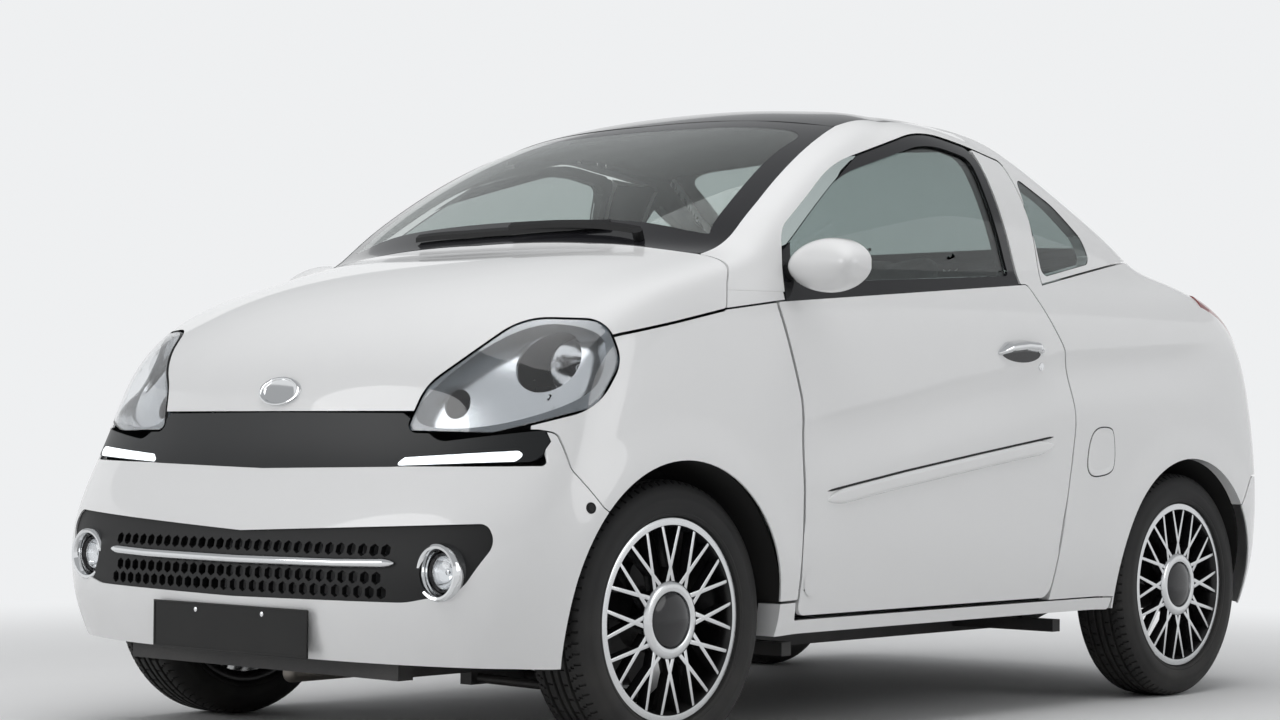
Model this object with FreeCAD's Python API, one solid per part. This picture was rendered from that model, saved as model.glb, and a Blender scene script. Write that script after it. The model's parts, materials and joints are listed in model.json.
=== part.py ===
"""Two-seat, two-door light quadricycle with a notchback cabin, in millimetres.

The nose points along -Y, the left side along +X, and the floor is Z = 0.
"""
import FreeCAD
import Part
import math
import os
from FreeCAD import Vector as V

# Wheels and track
WHEELBASE = 1976.0
FRONT_AXLE_Y = -975.0
REAR_AXLE_Y = FRONT_AXLE_Y + WHEELBASE
TYRE_RADIUS = 283.5
TYRE_WIDTH = 155.0
TYRE_OUTER_X = 734.0
RIM_RADIUS = 190.5
RIM_LIP_RADIUS = 207.0
RIM_LIP_INSET = 10.0
HUB_RADIUS = 56.0
HUB_RING_RADIUS = 79.0
SPOKE_PAIRS = 12
SPOKE_WIDTH = 9.0
SPOKE_DEPTH = 24.0
HUB_BOLTS = 4
HUB_BOLT_CIRCLE = 98.0
HUB_BOLT_HOLE = 13.0
SPINDLE_RADIUS = 24.0
SPINDLE_CLEARANCE = 0.05

# Body skin
GAP = 5.0
DOOR_GAP = 8.0
HOOD_WALL = 18.0
PANEL_WALL = 4.0
WING_WALL = 4.0
DOOR_WALL = 60.0
QUARTER_WALL = 28.0
ARCH_WALL = 34.0
ROOF_WALL = 24.0
GLASS_WALL = 5.0
FRONT_ARCH_RADIUS = 322.0
REAR_ARCH_RADIUS = 322.0
SILL_BOTTOM = 236.0
SEAT_CLEARANCE = 0.3
PANEL_SEAM = 3.0
SEALED_SEAM = 0.6
BONNET_REAR_GAP = 7.0

# Hinges and steering
DOOR_HINGE_X = 742.0
DOOR_HINGE_Y = -545.0
KINGPIN_LOW = V(622.0, FRONT_AXLE_Y, 150.0)
KINGPIN_HIGH = V(528.0, FRONT_AXLE_Y, 520.0)

# Underbody and cabin
FLOOR_SHEET = 6.0
FLOOR_FRONT = -587.7
FLOOR_REAR = 638.5
RAIL_X = 318.0
RAIL_WIDTH = 46.0
RAIL_HEIGHT = 60.0
CABIN_HALF = 610.0
SEAT_X = 300.0
SEAT_Y = -40.0
SEAT_Z = 330.0
SEAT_WIDTH = 470.0

# The body's rings, from the bumper's lower edge up to the roof's spine.
# zf, zs0, zs1, zr: height at the nose, front and rear of the flank, tail
# yf, sagf, wcf:    nose centre, how far its corner lies behind it, corner half width
# ys0 .. ys1:       where the flank starts and ends; w0, wm, w1 its half widths
# wcr, sagr, yr:    the same for the tail as wcf, sagf and yf for the nose
RINGS = """
name     zf   zs0  zs1  zr    yf   sagf wcf    ys0  w0  wm  w1   ys1  wcr sagr yr
bottom   195  190  205  210  -1500  80 600  -1120 724 706 716  1238  585  72 1478
skirt    250  260  280  280  -1514  74 622  -1130 748 730 740  1242  605  66 1498
bumper   330  360  385  370  -1518  68 640  -1140 762 742 754  1255  620  62 1516
waist    430  470  490  480  -1506  66 650  -1140 768 750 760  1262  625  60 1516
upper    520  570  600  590  -1466  64 640  -1130 766 752 760  1262  622  60 1503
band     610  660  705  700  -1420  64 625  -1110 758 752 758  1255  612  62 1488
lip      700  750  810  810  -1400  70 600  -1080 746 748 750  1245  600  64 1474
nose     770  830  895  910  -1385  80 580  -1040 734 740 738  1225  582  70 1456
brow     870  900  960  1000 -1325  95 560   -980 722 730 722  1185  556  78 1412
bonnet   975  960  1010 1072 -1175 110 550   -880 708 714 700  1100  540  88 1312
cowl     1045 1000 1040 1115 -945  140 570   -720 696 700 680   955  540 100 1130
base     1062 1040 1075 1124 -825  130 585   -600 690 688 666   860  540 105  1010
glass    1130 1110 1140 1165 -740  112 592   -510 678 680 650   800  535 110  940
pillar   1275 1240 1252 1285 -530  105 560   -320 640 652 610   560  505 105  755
header   1380 1352 1360 1385 -325  105 500   -110 590 606 565   350  450  90  570
rail     1428 1404 1410 1425 -170  100 410     10 528 544 510   230  390  75  440
roof     1448 1437 1437 1444  -60   80 240     60 335 350 325   160  240  50  310
spine    1453 1450 1450 1450   20    0   0     60   0   0   0   200    0   0  240
"""
NOSE_POLES = 5
FLANK_POLES = 9
POLES = NOSE_POLES * 2 + FLANK_POLES
DEGREE = 3


def ring_rows():
    lines = [line.split() for line in RINGS.strip().splitlines()]
    names = lines[0][1:]
    return [(line[0], dict(zip(names, map(float, line[1:])))) for line in lines[1:]]


def blend(a, b, t):
    return a + (b - a) * t


def ring_poles(name, r):
    """The control points of one ring, from the nose's centre round the left flank."""
    if name == "spine":
        step = (r["yr"] - r["yf"]) / (POLES - 1)
        return [V(0, r["yf"] + step * i, r["zs0"]) for i in range(POLES)]
    nose_y, tail_y = r["yf"] + r["sagf"], r["yr"] - r["sagr"]
    points = [
        V(0, r["yf"], r["zf"]),
        V(0.35 * r["wcf"], r["yf"], r["zf"]),
        V(0.72 * r["wcf"], r["yf"] + 0.35 * r["sagf"], r["zf"]),
        V(r["wcf"], nose_y, blend(r["zf"], r["zs0"], 0.25)),
        V(blend(r["w0"], r["wcf"], 0.12), blend(nose_y, r["ys0"], 0.25),
          blend(r["zf"], r["zs0"], 0.6)),
    ]
    for k in range(FLANK_POLES):
        t = k / (FLANK_POLES - 1)
        half = (r["w0"] * (1 - t) * (1 - 2 * t) + r["wm"] * 4 * t * (1 - t)
                + r["w1"] * t * (2 * t - 1))
        points.append(V(half, blend(r["ys0"], r["ys1"], t), blend(r["zs0"], r["zs1"], t)))
    points += [
        V(blend(r["w1"], r["wcr"], 0.12), blend(tail_y, r["ys1"], 0.25),
          blend(r["zr"], r["zs1"], 0.6)),
        V(r["wcr"], tail_y, blend(r["zr"], r["zs1"], 0.25)),
        V(0.72 * r["wcr"], r["yr"] - 0.35 * r["sagr"], r["zr"]),
        V(0.35 * r["wcr"], r["yr"], r["zr"]),
        V(0, r["yr"], r["zr"]),
    ]
    return points


def body_surface():
    """One smooth surface over the left half of the car, through the rings."""
    rows = [ring_poles(name, r) for name, r in ring_rows()]

    def knots(count):
        inner = count - DEGREE
        values = [i / inner for i in range(inner + 1)]
        return values, [DEGREE + 1] + [1] * (inner - 1) + [DEGREE + 1]

    (ku, mu), (kv, mv) = knots(len(rows)), knots(POLES)
    surface = Part.BSplineSurface()
    surface.buildFromPolesMultsKnots(rows, mu, mv, ku, kv, False, False, DEGREE, DEGREE)
    return surface


SKIN = body_surface()
ROW_NAMES = [name for name, r in ring_rows()]


def ring(name):
    """The skin's parameter beside a named ring."""
    spans = len(ROW_NAMES) - DEGREE
    return min(max((ROW_NAMES.index(name) - 1) / spans, 0.0), 1.0)


def station(index):
    """The skin's parameter beside the control point with this number along a ring."""
    return min(max((index - 1) / (POLES - DEGREE), 0.0), 1.0)


def skin_point(u, v, depth):
    """A point under the skin. Past v = 0 or 1 it goes on round the right side."""
    side = 1.0
    if v < 0:
        v, side = -v, -1.0
    if v > 1:
        v, side = 2 - v, -1.0
    inner = 1e-6
    point = SKIN.value(u, v)
    normal = SKIN.normal(min(max(u, inner), 1 - inner), min(max(v, inner), 1 - inner))
    flank = V(point.x, point.y * 0.15, point.z - 500)
    if normal.dot(flank) < 0:
        normal = normal.multiply(-1)
    if v in (0.0, 1.0) or u == 1.0:
        normal = V(0, normal.y, normal.z).normalize()
    point = point - normal * depth
    return V(point.x * side, point.y, point.z)


def slab(rows, stations, outer, inner, nu, nv):
    """A closed slab that follows the skin between two depths."""
    u0, u1 = rows
    v0, v1 = stations

    def grid(depth):
        return [[skin_point(blend(u0, u1, i / (nu - 1)), blend(v0, v1, j / (nv - 1)), depth)
                 for j in range(nv)] for i in range(nu)]
    return shell_between(grid(outer), grid(inner))


def curve_through(points):
    curve = Part.BSplineCurve()
    curve.interpolate(Points=points, Parameters=[float(i) for i in range(len(points))])
    return curve


def surface_through(points):
    """A smooth surface through a grid of points that stand at even parameters."""
    rows = [curve_through(row) for row in points]
    poles = [row.getPoles() for row in rows]
    columns = [curve_through(list(column)) for column in zip(*poles)]
    grid = [list(row) for row in zip(*(column.getPoles() for column in columns))]
    u, v = columns[0], rows[0]
    surface = Part.BSplineSurface()
    surface.buildFromPolesMultsKnots(grid, u.getMultiplicities(), v.getMultiplicities(),
                                     u.getKnots(), v.getKnots(), False, False, DEGREE, DEGREE)
    return surface


def shell_between(outside, inside):
    """A solid between two grids of points, with ruled sides."""
    grids = [surface_through(points) for points in (outside, inside)]
    faces = [surface.toShape() for surface in grids]
    for k in range(4):
        edges = [rim_edge(surface, k) for surface in grids]
        faces.append(Part.makeRuledSurface(edges[0], edges[1]))
    shell = Part.makeShell(faces)
    shell.sewShape()
    solid = Part.makeSolid(shell if shell.ShapeType == "Shell" else shell.Shells[0])
    if solid.Volume < 0:
        solid.reverse()
    return solid


def rim_edge(surface, k):
    u0, u1, v0, v1 = surface.bounds()
    if k < 2:
        return surface.uIso(u0 if k == 0 else u1).toShape()
    return surface.vIso(v0 if k == 2 else v1).toShape()


def rounded(points):
    """A closed flat wire through (a, b) or (a, b, radius) corners."""
    corners = [(p[0], p[1], p[2] if len(p) > 2 else 0.0) for p in points]
    count = len(corners)
    cuts = []
    for i, (a, b, radius) in enumerate(corners):
        here = V(a, b, 0)
        back = V(*corners[i - 1][:2], 0) - here
        ahead = V(*corners[(i + 1) % count][:2], 0) - here
        if radius == 0:
            cuts.append((here, None, here))
            continue
        half = back.getAngle(ahead) / 2
        if half > math.radians(89.9):
            cuts.append((here, None, here))
            continue
        reach = min(radius / math.tan(half), 0.49 * back.Length, 0.49 * ahead.Length)
        radius = reach * math.tan(half)
        start = here + V(back).normalize() * reach
        end = here + V(ahead).normalize() * reach
        to_middle = (V(back).normalize() + V(ahead).normalize()).normalize()
        middle = here + to_middle * (radius / math.sin(half) - radius)
        cuts.append((start, middle, end))
    edges = []
    for i, (start, middle, end) in enumerate(cuts):
        if middle is not None:
            edges.append(Part.Arc(start, middle, end).toShape())
        following = cuts[(i + 1) % count][0]
        if (following - end).Length > 1e-6:
            edges.append(Part.LineSegment(end, following).toShape())
    return Part.Wire(edges)


def shrunk(wire, inset):
    face = Part.Face(wire)
    if inset == 0:
        return face
    moved = face.makeOffset2D(-inset, 2)
    return moved if moved.ShapeType == "Face" else moved.Faces[0]


FRAMES = {
    # view: (first axis, second axis, the way the prism runs)
    "side": (V(0, 1, 0), V(0, 0, 1), V(1, 0, 0)),
    "front": (V(1, 0, 0), V(0, 0, 1), V(0, -1, 0)),
    "top": (V(1, 0, 0), V(0, 1, 0), V(0, 0, 1)),
    "corner": (V(0.70710678, 0.70710678, 0), V(0, 0, 1), V(0.70710678, -0.70710678, 0)),
}


def prism(view, points, low, high, inset=0.0):
    """An outline drawn in one view, pushed along that view's line of sight."""
    first, second, along = FRAMES[view]
    face = shrunk(rounded(points), inset)
    matrix = FreeCAD.Matrix(first.x, second.x, along.x, 0,
                            first.y, second.y, along.y, 0,
                            first.z, second.z, along.z, 0,
                            0, 0, 0, 1)
    if first.cross(second).dot(along) < 0:
        matrix = FreeCAD.Matrix(first.x, second.x, -along.x, 0,
                                first.y, second.y, -along.y, 0,
                                first.z, second.z, -along.z, 0,
                                0, 0, 0, 1)
    face.Placement = FreeCAD.Placement(matrix)
    face.translate(along * low)
    return face.extrude(along * (high - low))


def cylinder(start, end, radius):
    return Part.makeCylinder(radius, (end - start).Length, start, end - start)


def tube(points, radius):
    """A bent rod: straight runs with a ball at each inner joint."""
    parts = [cylinder(a, b, radius) for a, b in zip(points, points[1:])]
    parts += [Part.makeSphere(radius, p) for p in points[1:-1]]
    return fuse(parts)


def box(x0, x1, y0, y1, z0, z1):
    return Part.makeBox(x1 - x0, y1 - y0, z1 - z0, V(x0, y0, z0))


def fuse(shapes):
    first, rest = shapes[0], shapes[1:]
    return first.fuse(rest).removeSplitter() if rest else first


def mirrored(shape):
    return shape.mirror(V(0, 0, 0), V(1, 0, 0))


def both_sides(shape):
    return Part.makeCompound([shape, mirrored(shape)])


def halves(points):
    """A whole outline from its right half, whose ends lie on the centre line."""
    left = [(-p[0],) + tuple(p[1:]) for p in reversed(points) if p[0] != 0]
    return list(points) + left


def wheel_cut(y, radius, low=-900.0, high=900.0):
    return cylinder(V(low, y, TYRE_RADIUS), V(high, y, TYRE_RADIUS), radius)


def largest(shape):
    return max(shape.Solids, key=lambda s: s.Volume)


NODES = {}


def write(name, shape):
    solids = shape.Solids
    whole = solids[0] if len(solids) == 1 else Part.makeCompound(solids)
    NODES[name] = whole
    whole.exportStep(os.path.join("parts", name + ".step"))


# Outlines of the body's seams, each drawn once and shared by the panels on both sides.
# Side view: y, z and a corner radius.
BUMPER_SEAM = [(-1320, 596, 10), (-1312, 664, 6), (-1292, 658, 12), (-1284, 588, 30),
               (-1222, 515, 30), (-1150, 470)]
HOOD_SEAM = [(-1120, 856), (-966, 885, 300), (-802, 918, 12), (-783, 970, 60),
             (-757, 1013, 60)]
DOOR_FRONT = [(-632, 940, 10), (-583, 733, 120), (-583, 272, 28)]
DOOR_REAR = [(398, 272, 40), (429, 459, 200), (476, 700, 160), (445, 868, 120),
             (340, 1022, 20)]
BELT = [(340, 1022, 20), (-632, 940, 10)]
WINDOW = [(-603, 943, 8), (-566, 1100, 80), (-330, 1262, 500), (60, 1375, 400),
          (262, 1350, 50), (312, 1019, 8)]
WINDOW_GLASS = [(-560, 984, 14), (-545, 1085, 70), (-318, 1238, 480), (58, 1346, 380),
                (226, 1322, 40), (276, 1040, 14)]
QUARTER_GLASS = [(424, 1044, 20), (412, 1215, 200), (428, 1296, 24), (560, 1232, 160),
                 (652, 1150, 60), (664, 1090, 24)]
BELT_SEAM = [(409, 1026), (780, 1094), (905, 1112)]
SILL = [(-692, 304, 6), (-594, 304, 4), (-590, 265, 6), (668, 265, 6), (662, SILL_BOTTOM, 10),
        (-668, SILL_BOTTOM, 20)]
# Top view: x, y and a corner radius, right half only
GLASS_BASE = [(0, -806), (330, -793, 400), (606, -752, 30)]
ARCH_INNER = [(612, -660, 200), (600, -560, 300), (566, -380, 300), (532, -200, 300)]
HEADER_FRONT = [(530, -196, 20), (300, -244, 500), (0, -262)]
HEADER_REAR = [(0, 486), (300, 470, 400), (512, 420, 20)]
ARCH_REAR = [(560, 600, 300), (590, 760, 200), (596, 880, 20)]
REAR_BASE = [(596, 880, 20), (330, 968, 300), (0, 992)]
# Headlamp, seen along the car's front corner: s, z and a corner radius
HEADLAMP = [(-712, 660, 14), (-672, 752, 120), (-480, 890, 160), (-316, 884, 60),
            (-286, 800, 70), (-336, 708, 120), (-540, 656, 200)]
# Front view: x, z and a corner radius, right half only
BAND = [(0, 583), (370, 590, 200), (690, 603, 20), (700, 642, 16), (684, 664, 12),
        (470, 640, 60), (366, 697, 10), (0, 699)]
MOUTH = [(0, 322), (480, 328, 200), (602, 352, 70), (664, 446, 60), (640, 484, 30), (0, 456)]
DAYLIGHT = [(376, 592, 6), (652, 603, 12), (664, 616, 6), (650, 624, 10), (398, 609, 8)]

FRONT_FOG = V(552, -1463, 388)
FOG_RADIUS = 44.0


# Pieces set into the skin
LENS_DEPTH = 4.0
LAMP_DEPTH = 46.0
LAMP_FLANGE = 9.0
BONNET_ROOM = [(-1450, 690), (-1325, 690), (-1160, 838), (-1000, 860), (-1000, 1100),
               (-1450, 1100)]
LAMP_FACE = 1188.0
LAMP_BOWLS = [(-388, 790, 72, 56), (-590, 706, 40, 36)]
GRILLE_DEPTH = 12.0
GRILLE_HALF = 440.0
GRILLE_FIELDS = [(414, 452), (332, 386)]
CELL = 26.0
CELL_WEB = 4.0
FRONT_PLATE_Y = -1522.0
REAR_PLATE_Y = 1517.5
BOOT_FRONT_ROOM = 3.0
BOOT_TOP = [(0, 1000), (330, 990, 300), (530, 966, 30), (556, 1240, 100), (520, 1600),
            (0, 1600)]
BOOT_TAIL = [(0, 706), (430, 712, 60), (520, 870, 80), (566, 1060), (566, 1250), (0, 1250)]
REAR_BASE_ROOM = [(0, 800), (596, 800), (596, 880), (330, 968, 300), (0, 992)]
TAIL_LAMP = [(540, 856, 40), (700, 850, 30), (700, 1030, 40), (585, 1040, 60)]
HINGE_LEVELS = (345.0, 655.0)
HINGE_ARM = 24.0
HINGE_EYE = 10.0
HINGE_PIN = 5.5
BONNET_HINGE = (-660.0, 1068.0)
BOOT_HINGE = (850.0, 1075.0)
DOOR_STEP = 10.0
DOOR_REBATE = 20.0
FRAME_REBATE = 14.0
SILL_WALL = 60.0
FRAME_WALL = 34.0
DOOR_POCKET = [(-480, 420, 60), (-480, 800, 60), (300, 860, 60), (340, 420, 60)]
POCKET_DEPTH = 22.0
# The middle of the mirror's flat back, its half width and half height, and its depth there
MIRROR = V(801, -548, 1019)
MIRROR_HALF = 103.0
MIRROR_HEIGHT = 58.0
MIRROR_DEPTH = 60.0
MIRROR_SWEEP = 20.0
MIRROR_SHARES = (-0.97, -0.86, -0.6, -0.2, 0.25, 0.65, 0.88, 0.97)
MIRROR_SIDES = 14
MIRROR_BED = (78.0, 36.0, 6.0)
MIRROR_ARM_Y = -571.0
HANDLE = [(150, 838, 18), (190, 890, 30), (318, 892, 18), (342, 862, 14), (300, 836, 20)]
HANDLE_RISE = 26.0
SPOKE_CROSS_IN = 0.26
SPOKE_CROSS_OUT = 0.25
RAIL_Z = 166.0
KICK_Z = 330.0
FLANGE_X = TYRE_OUTER_X - RIM_LIP_INSET - 52.0 - 0.5
SPINDLE_END_X = TYRE_OUTER_X - RIM_LIP_INSET - 21.0
STRUT_ROD = 9.0
DAMPER_TOP = 560.0
STRUT_TOP = 760.0
STRUT_HEAD = 60.0
STEER_ARM_Y = FRONT_AXLE_Y + 118.0
BALL_RADIUS = 12.0
BALL_Z = 162.0
ARM_END = 126.0
ARM_INNER = 148.0
ARM_RADIUS = 10.0
RACK_Y = FRONT_AXLE_Y + 118.0
RACK_Z = 246.0
RACK_BAR = 12.0
RACK_CLEARANCE = 0.05
FRONT_LINER_X = 404.0
REAR_LINER_X = 540.0
LINER_OUTER_X = 744.0
LINER_LOW = 240.0
DASH_HALF = 560.0
COLUMN_TOP = V(SEAT_X, -400, 860)
COLUMN_AXIS = V(0, math.cos(math.radians(24)), math.sin(math.radians(24)))
COLUMN_PIN = 12.0
SHELF_HALF = 520.0
WIPER_PIVOT = (430, -752)
WIPER_BLADE = [(-250, -764), (-80, -775), (60, -774), (220, -758), (330, -738)]


def door_panel_edges(lift=0.0):
    """The door's outline, whose belt line can be lifted to meet the window frame."""
    front, rear = DOOR_FRONT[0], DOOR_REAR[-1]
    return [(front[0], front[1] + lift, front[2])] + DOOR_FRONT[1:] + DOOR_REAR[:-1] + \
           [(rear[0], rear[1] + lift, rear[2])]


def front_skin(outer, inner):
    return slab((ring("bottom"), ring("lip")), (-station(7.4), station(7.4)), outer, inner,
                9, 21)


def wing_skin(outer, inner):
    return slab((ring("skirt"), ring("cowl")), (station(3.4), station(11)), outer, inner, 9, 15)


def quarter_skin(outer, inner):
    return slab((ring("bottom"), ring("header")), (station(9), station(17.2)), outer, inner,
                13, 17)


def tail_skin(outer, inner):
    return slab((ring("bottom"), ring("lip")), (station(11), 2 - station(11)), outer, inner,
                9, 19)


def sill_skin(outer, inner):
    return slab((ring("bottom"), ring("waist")), (station(6), station(13)), outer, inner, 5, 13)


def frame_skin(outer, inner):
    return slab((ring("brow"), ring("roof")), (station(5), station(12.4)), outer, inner, 11, 15)


def front_bumper():
    skin = front_skin(0, PANEL_WALL)
    outline = [(-1600, 204), (-1600, 583), (-1340, 596)] + BUMPER_SEAM + [(-1150, 204)]
    shape = skin.common(prism("side", outline, -900, 900, PANEL_SEAM / 2))
    shape = shape.cut(wheel_cut(FRONT_AXLE_Y, FRONT_ARCH_RADIUS))
    shape = shape.cut(prism("front", halves(MOUTH), 1250, 1600))
    band_room = halves([(0, 583), (370, 590), (690, 603), (700, 642), (684, 668), (0, 730)])
    return largest(shape.cut(prism("front", band_room, 1250, 1600, -SEALED_SEAM / 2)))


def nose_band():
    """The black panel between bonnet and bumper, with a slot for each daylight lamp."""
    skin = slab((ring("upper"), ring("nose")), (-station(5.4), station(5.4)), 0, PANEL_WALL,
                7, 17)
    shape = skin.common(prism("front", halves(BAND), 1200, 1600, SEALED_SEAM / 2))
    lamp = prism("front", DAYLIGHT, 1250, 1600)
    lamp_room = corner_lamp_room()
    return largest(shape.cut([lamp, mirrored(lamp), lamp_room, mirrored(lamp_room)]))


def corner_lamp_room():
    return prism("corner", HEADLAMP, 900, 1600, -GAP / 2)


def daylight_lamps():
    skin = slab((ring("upper"), ring("lip")), (0, station(5.4)), -2, 12, 6, 11)
    return both_sides(largest(skin.common(prism("front", DAYLIGHT, 1250, 1600,
                                                SEAT_CLEARANCE))))


def headlamp_lens():
    skin = slab((ring("band"), ring("bonnet")), (station(1.5), station(7.2)), -1, LENS_DEPTH,
                8, 11)
    return both_sides(largest(skin.common(prism("corner", HEADLAMP, 900, 1600, GAP / 2))))


def headlamp_housing():
    """A deep shell behind the lens with a main bowl and a small indicator bowl."""
    skin = slab((ring("band"), ring("bonnet")), (station(1.5), station(7.2)),
                LENS_DEPTH + SEAT_CLEARANCE, LAMP_DEPTH, 8, 11)
    shell = largest(skin.common(prism("corner", HEADLAMP, 900, 1600, GAP / 2 + 1)))
    flange = skin.common(prism("corner", HEADLAMP, 900, 1600, -LAMP_FLANGE))
    flange = flange.cut(prism("side", BONNET_ROOM, 0, 900))
    shell = largest(shell.fuse(largest(flange)))
    for s, z, radius, depth in LAMP_BOWLS:
        axis = V(0.70710678, -0.70710678, 0)
        centre = FRAMES["corner"][0] * s + V(0, 0, z)
        face = centre + axis * LAMP_FACE
        bowl = Part.makeCone(radius * 0.42, radius, depth, face - axis * depth, axis)
        mouth = cylinder(face, face + axis * 200, radius)
        shell = shell.cut([bowl, mouth])
        bulb = tube_bulb(face - axis * depth, axis, radius)
        shell = shell.fuse(bulb)
    return both_sides(largest(shell))


def tube_bulb(root, axis, radius):
    cap = radius * 0.26
    length = radius * 0.55
    stem = cylinder(root - axis * 4, root + axis * length, cap)
    return stem.fuse(Part.makeSphere(cap, root + axis * length))


def fog_lamps():
    """A flanged round lamp with a domed glass, aimed straight ahead."""
    y = FRONT_FOG.y
    profile = [(0, y + 8), (FOG_RADIUS * 0.62, y + 14), (FOG_RADIUS * 0.78, y + 12),
               (FOG_RADIUS * 0.84, y - 4), (FOG_RADIUS, y + 2), (FOG_RADIUS, y + 10),
               (FOG_RADIUS * 0.9, y + 16), (FOG_RADIUS * 0.7, y + 52), (0, y + 52)]
    wire = Part.makePolygon([V(a, b, 0) for a, b in profile + profile[:1]])
    lamp = Part.Face(wire).revolve(V(0, 0, 0), V(0, 1, 0), 360)
    lamp.translate(V(FRONT_FOG.x, 0, FRONT_FOG.z))
    return both_sides(lamp)


def grille():
    """The recessed black insert: a frame round two honeycomb fields, and the fog rings."""
    skin = front_skin(PANEL_WALL + SEAT_CLEARANCE, PANEL_WALL + GRILLE_DEPTH)
    plate = largest(skin.common(prism("front", halves(MOUTH), 1200, 1600, -14)))
    cells = []
    for low, high in GRILLE_FIELDS:
        rows = int((high - low - CELL) / (CELL * 0.87 + CELL_WEB)) + 1
        step_z = (high - low - CELL) / max(rows - 1, 1)
        columns = int(2 * GRILLE_HALF / (CELL + CELL_WEB))
        for row in range(rows):
            z = low + CELL / 2 + row * step_z
            shift = 0.5 * (row % 2)
            for column in range(columns - row % 2):
                x = (column + shift - (columns - 1) / 2) * (CELL + CELL_WEB)
                cells.append(hexagon(x, z))
    plate = plate.cut(cells)
    for side in (-1, 1):
        centre = V(side * FRONT_FOG.x, -1600, FRONT_FOG.z)
        plate = plate.cut(cylinder(centre, centre + V(0, 400, 0),
                                   FOG_RADIUS + SEAT_CLEARANCE))
    return largest(plate)


def hexagon(x, z):
    corners = []
    for k in range(6):
        angle = math.radians(60 * k + 30)
        corners.append(V(x + CELL / 2 * math.cos(angle), -1600, z + CELL / 2 * math.sin(angle)))
    face = Part.Face(Part.makePolygon(corners + corners[:1]))
    return face.extrude(V(0, 400, 0))


def grille_bar():
    skin = front_skin(-7, PANEL_WALL)
    outline = halves([(0, 390), (380, 391, 60), (448, 399), (380, 408, 60), (0, 407)])
    return largest(skin.common(prism("front", outline, 1200, 1600)))


def number_plates():
    front = box(-242.5, 242.5, FRONT_PLATE_Y, FRONT_PLATE_Y + 4, 208, 304)
    foot = box(-150, 150, FRONT_PLATE_Y + 4, FRONT_PLATE_Y + 30, 226, 286)
    foot = foot.cut(front_skin(-SEAT_CLEARANCE, 60))
    rear = box(-242.5, 242.5, REAR_PLATE_Y, REAR_PLATE_Y + 4, 440, 536)
    pad = box(-150, 150, REAR_PLATE_Y - 30, REAR_PLATE_Y, 450, 526)
    pad = pad.cut(tail_skin(-SEAT_CLEARANCE, 60))
    return Part.makeCompound([fuse([front, largest(foot)]), fuse([rear, largest(pad)])])


def bonnet():
    skin = slab((ring("band"), ring("glass")), (-station(8), station(8)), 0, HOOD_WALL, 13, 21)
    side = [(-1450, 699), (-1330, 699), (-1160, 846)] + HOOD_SEAM + \
           [(-757, 1200), (-1450, 1200)]
    shape = skin.common(prism("side", side, -900, 900, GAP / 2))
    front = [(x, y - BONNET_REAR_GAP) for x, y in (p[:2] for p in GLASS_BASE)]
    rear = halves([(0, -1500), (760, -1500), (760, -750), (620, -750)] + front[::-1])
    shape = shape.common(prism("top", rear, 600, 1200))
    rooms = [corner_lamp_room(), mirrored(corner_lamp_room())]
    shape = largest(shape.cut(rooms))
    lugs = [bonnet_lug(side) for side in (1, -1)]
    return largest(fuse([shape] + lugs).cut([bonnet_pin(side, SPINDLE_CLEARANCE)
                                             for side in (1, -1)]))


def bonnet_lug(side):
    """A gooseneck that reaches from under the bonnet, below the glass, to the hinge pin."""
    y, z = BONNET_HINGE
    x = side * 574
    points = [V(x, y, z), V(x, y + 21, z - 57), V(x, y - 24, z - 126), V(x, -790, 1016),
              V(x, -797, 1025)]
    return fuse([tube(points, 7), cylinder(V(x - 8, y, z), V(x + 8, y, z), 13)])


def bonnet_pin(side, grow=0.0):
    y, z = BONNET_HINGE
    return cylinder(V(side * (556 - grow * 20), y, z), V(side * 590, y, z), 5 + grow)


def front_wing():
    skin = wing_skin(0, WING_WALL)
    outline = [(-1330, 664), (-1330, 760), (-1170, 850)] + HOOD_SEAM[:3] + DOOR_FRONT[:2] + \
              [(-583, 308, 10), (-760, 308), (-975, 520), (-1150, 470)] + \
              BUMPER_SEAM[:0:-1][1:]
    shape = skin.common(prism("side", outline, 300, 900, PANEL_SEAM / 2))
    shape = shape.cut(prism("side", [(-1450, 690), (-1330, 699), (-1160, 846)] + HOOD_SEAM +
                            [(-740, 1100), (-1450, 1100)], 300, 900, PANEL_SEAM / 2 - GAP))
    shape = shape.cut([wheel_cut(FRONT_AXLE_Y, FRONT_ARCH_RADIUS), corner_lamp_room(),
                       prism("side", door_panel_edges(), 300, 900, -DOOR_GAP + GAP / 2)])
    return both_sides(largest(shape))


def roof_arch():
    """A pillar, roof rail and rear pillar in one, with the quarter window's opening."""
    skin = slab((ring("bonnet"), ring("roof") - 0.01), (station(3.2), station(15.6)), 0,
                ARCH_WALL, 15, 27)
    outline = [(-802, 918, 12), (-783, 970, 60), (-757, 1013), (-757, 1500),
               (960, 1500), (940, 1119), (905, 1112)] + BELT_SEAM[1::-1] + \
              [(416, 1180, 100), (400, 1330, 20), (262, 1350, 8)] + WINDOW[3:0:-1] + \
              [(-603, 943, 8), (-632, 940, 10)]
    shape = skin.common(prism("side", outline, 200, 900, GAP / 2))
    inside = [(0, -900), (607, -900)] + [(607, -752)] + ARCH_INNER + HEADER_FRONT[:1] + \
             HEADER_REAR[2:] + ARCH_REAR + [(620, 1000), (0, 1000)]
    shape = shape.cut([prism("top", inside, 600, 1600, -SEALED_SEAM / 2),
                       prism("side", QUARTER_GLASS, 200, 900)])
    return both_sides(largest(shape))


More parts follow.
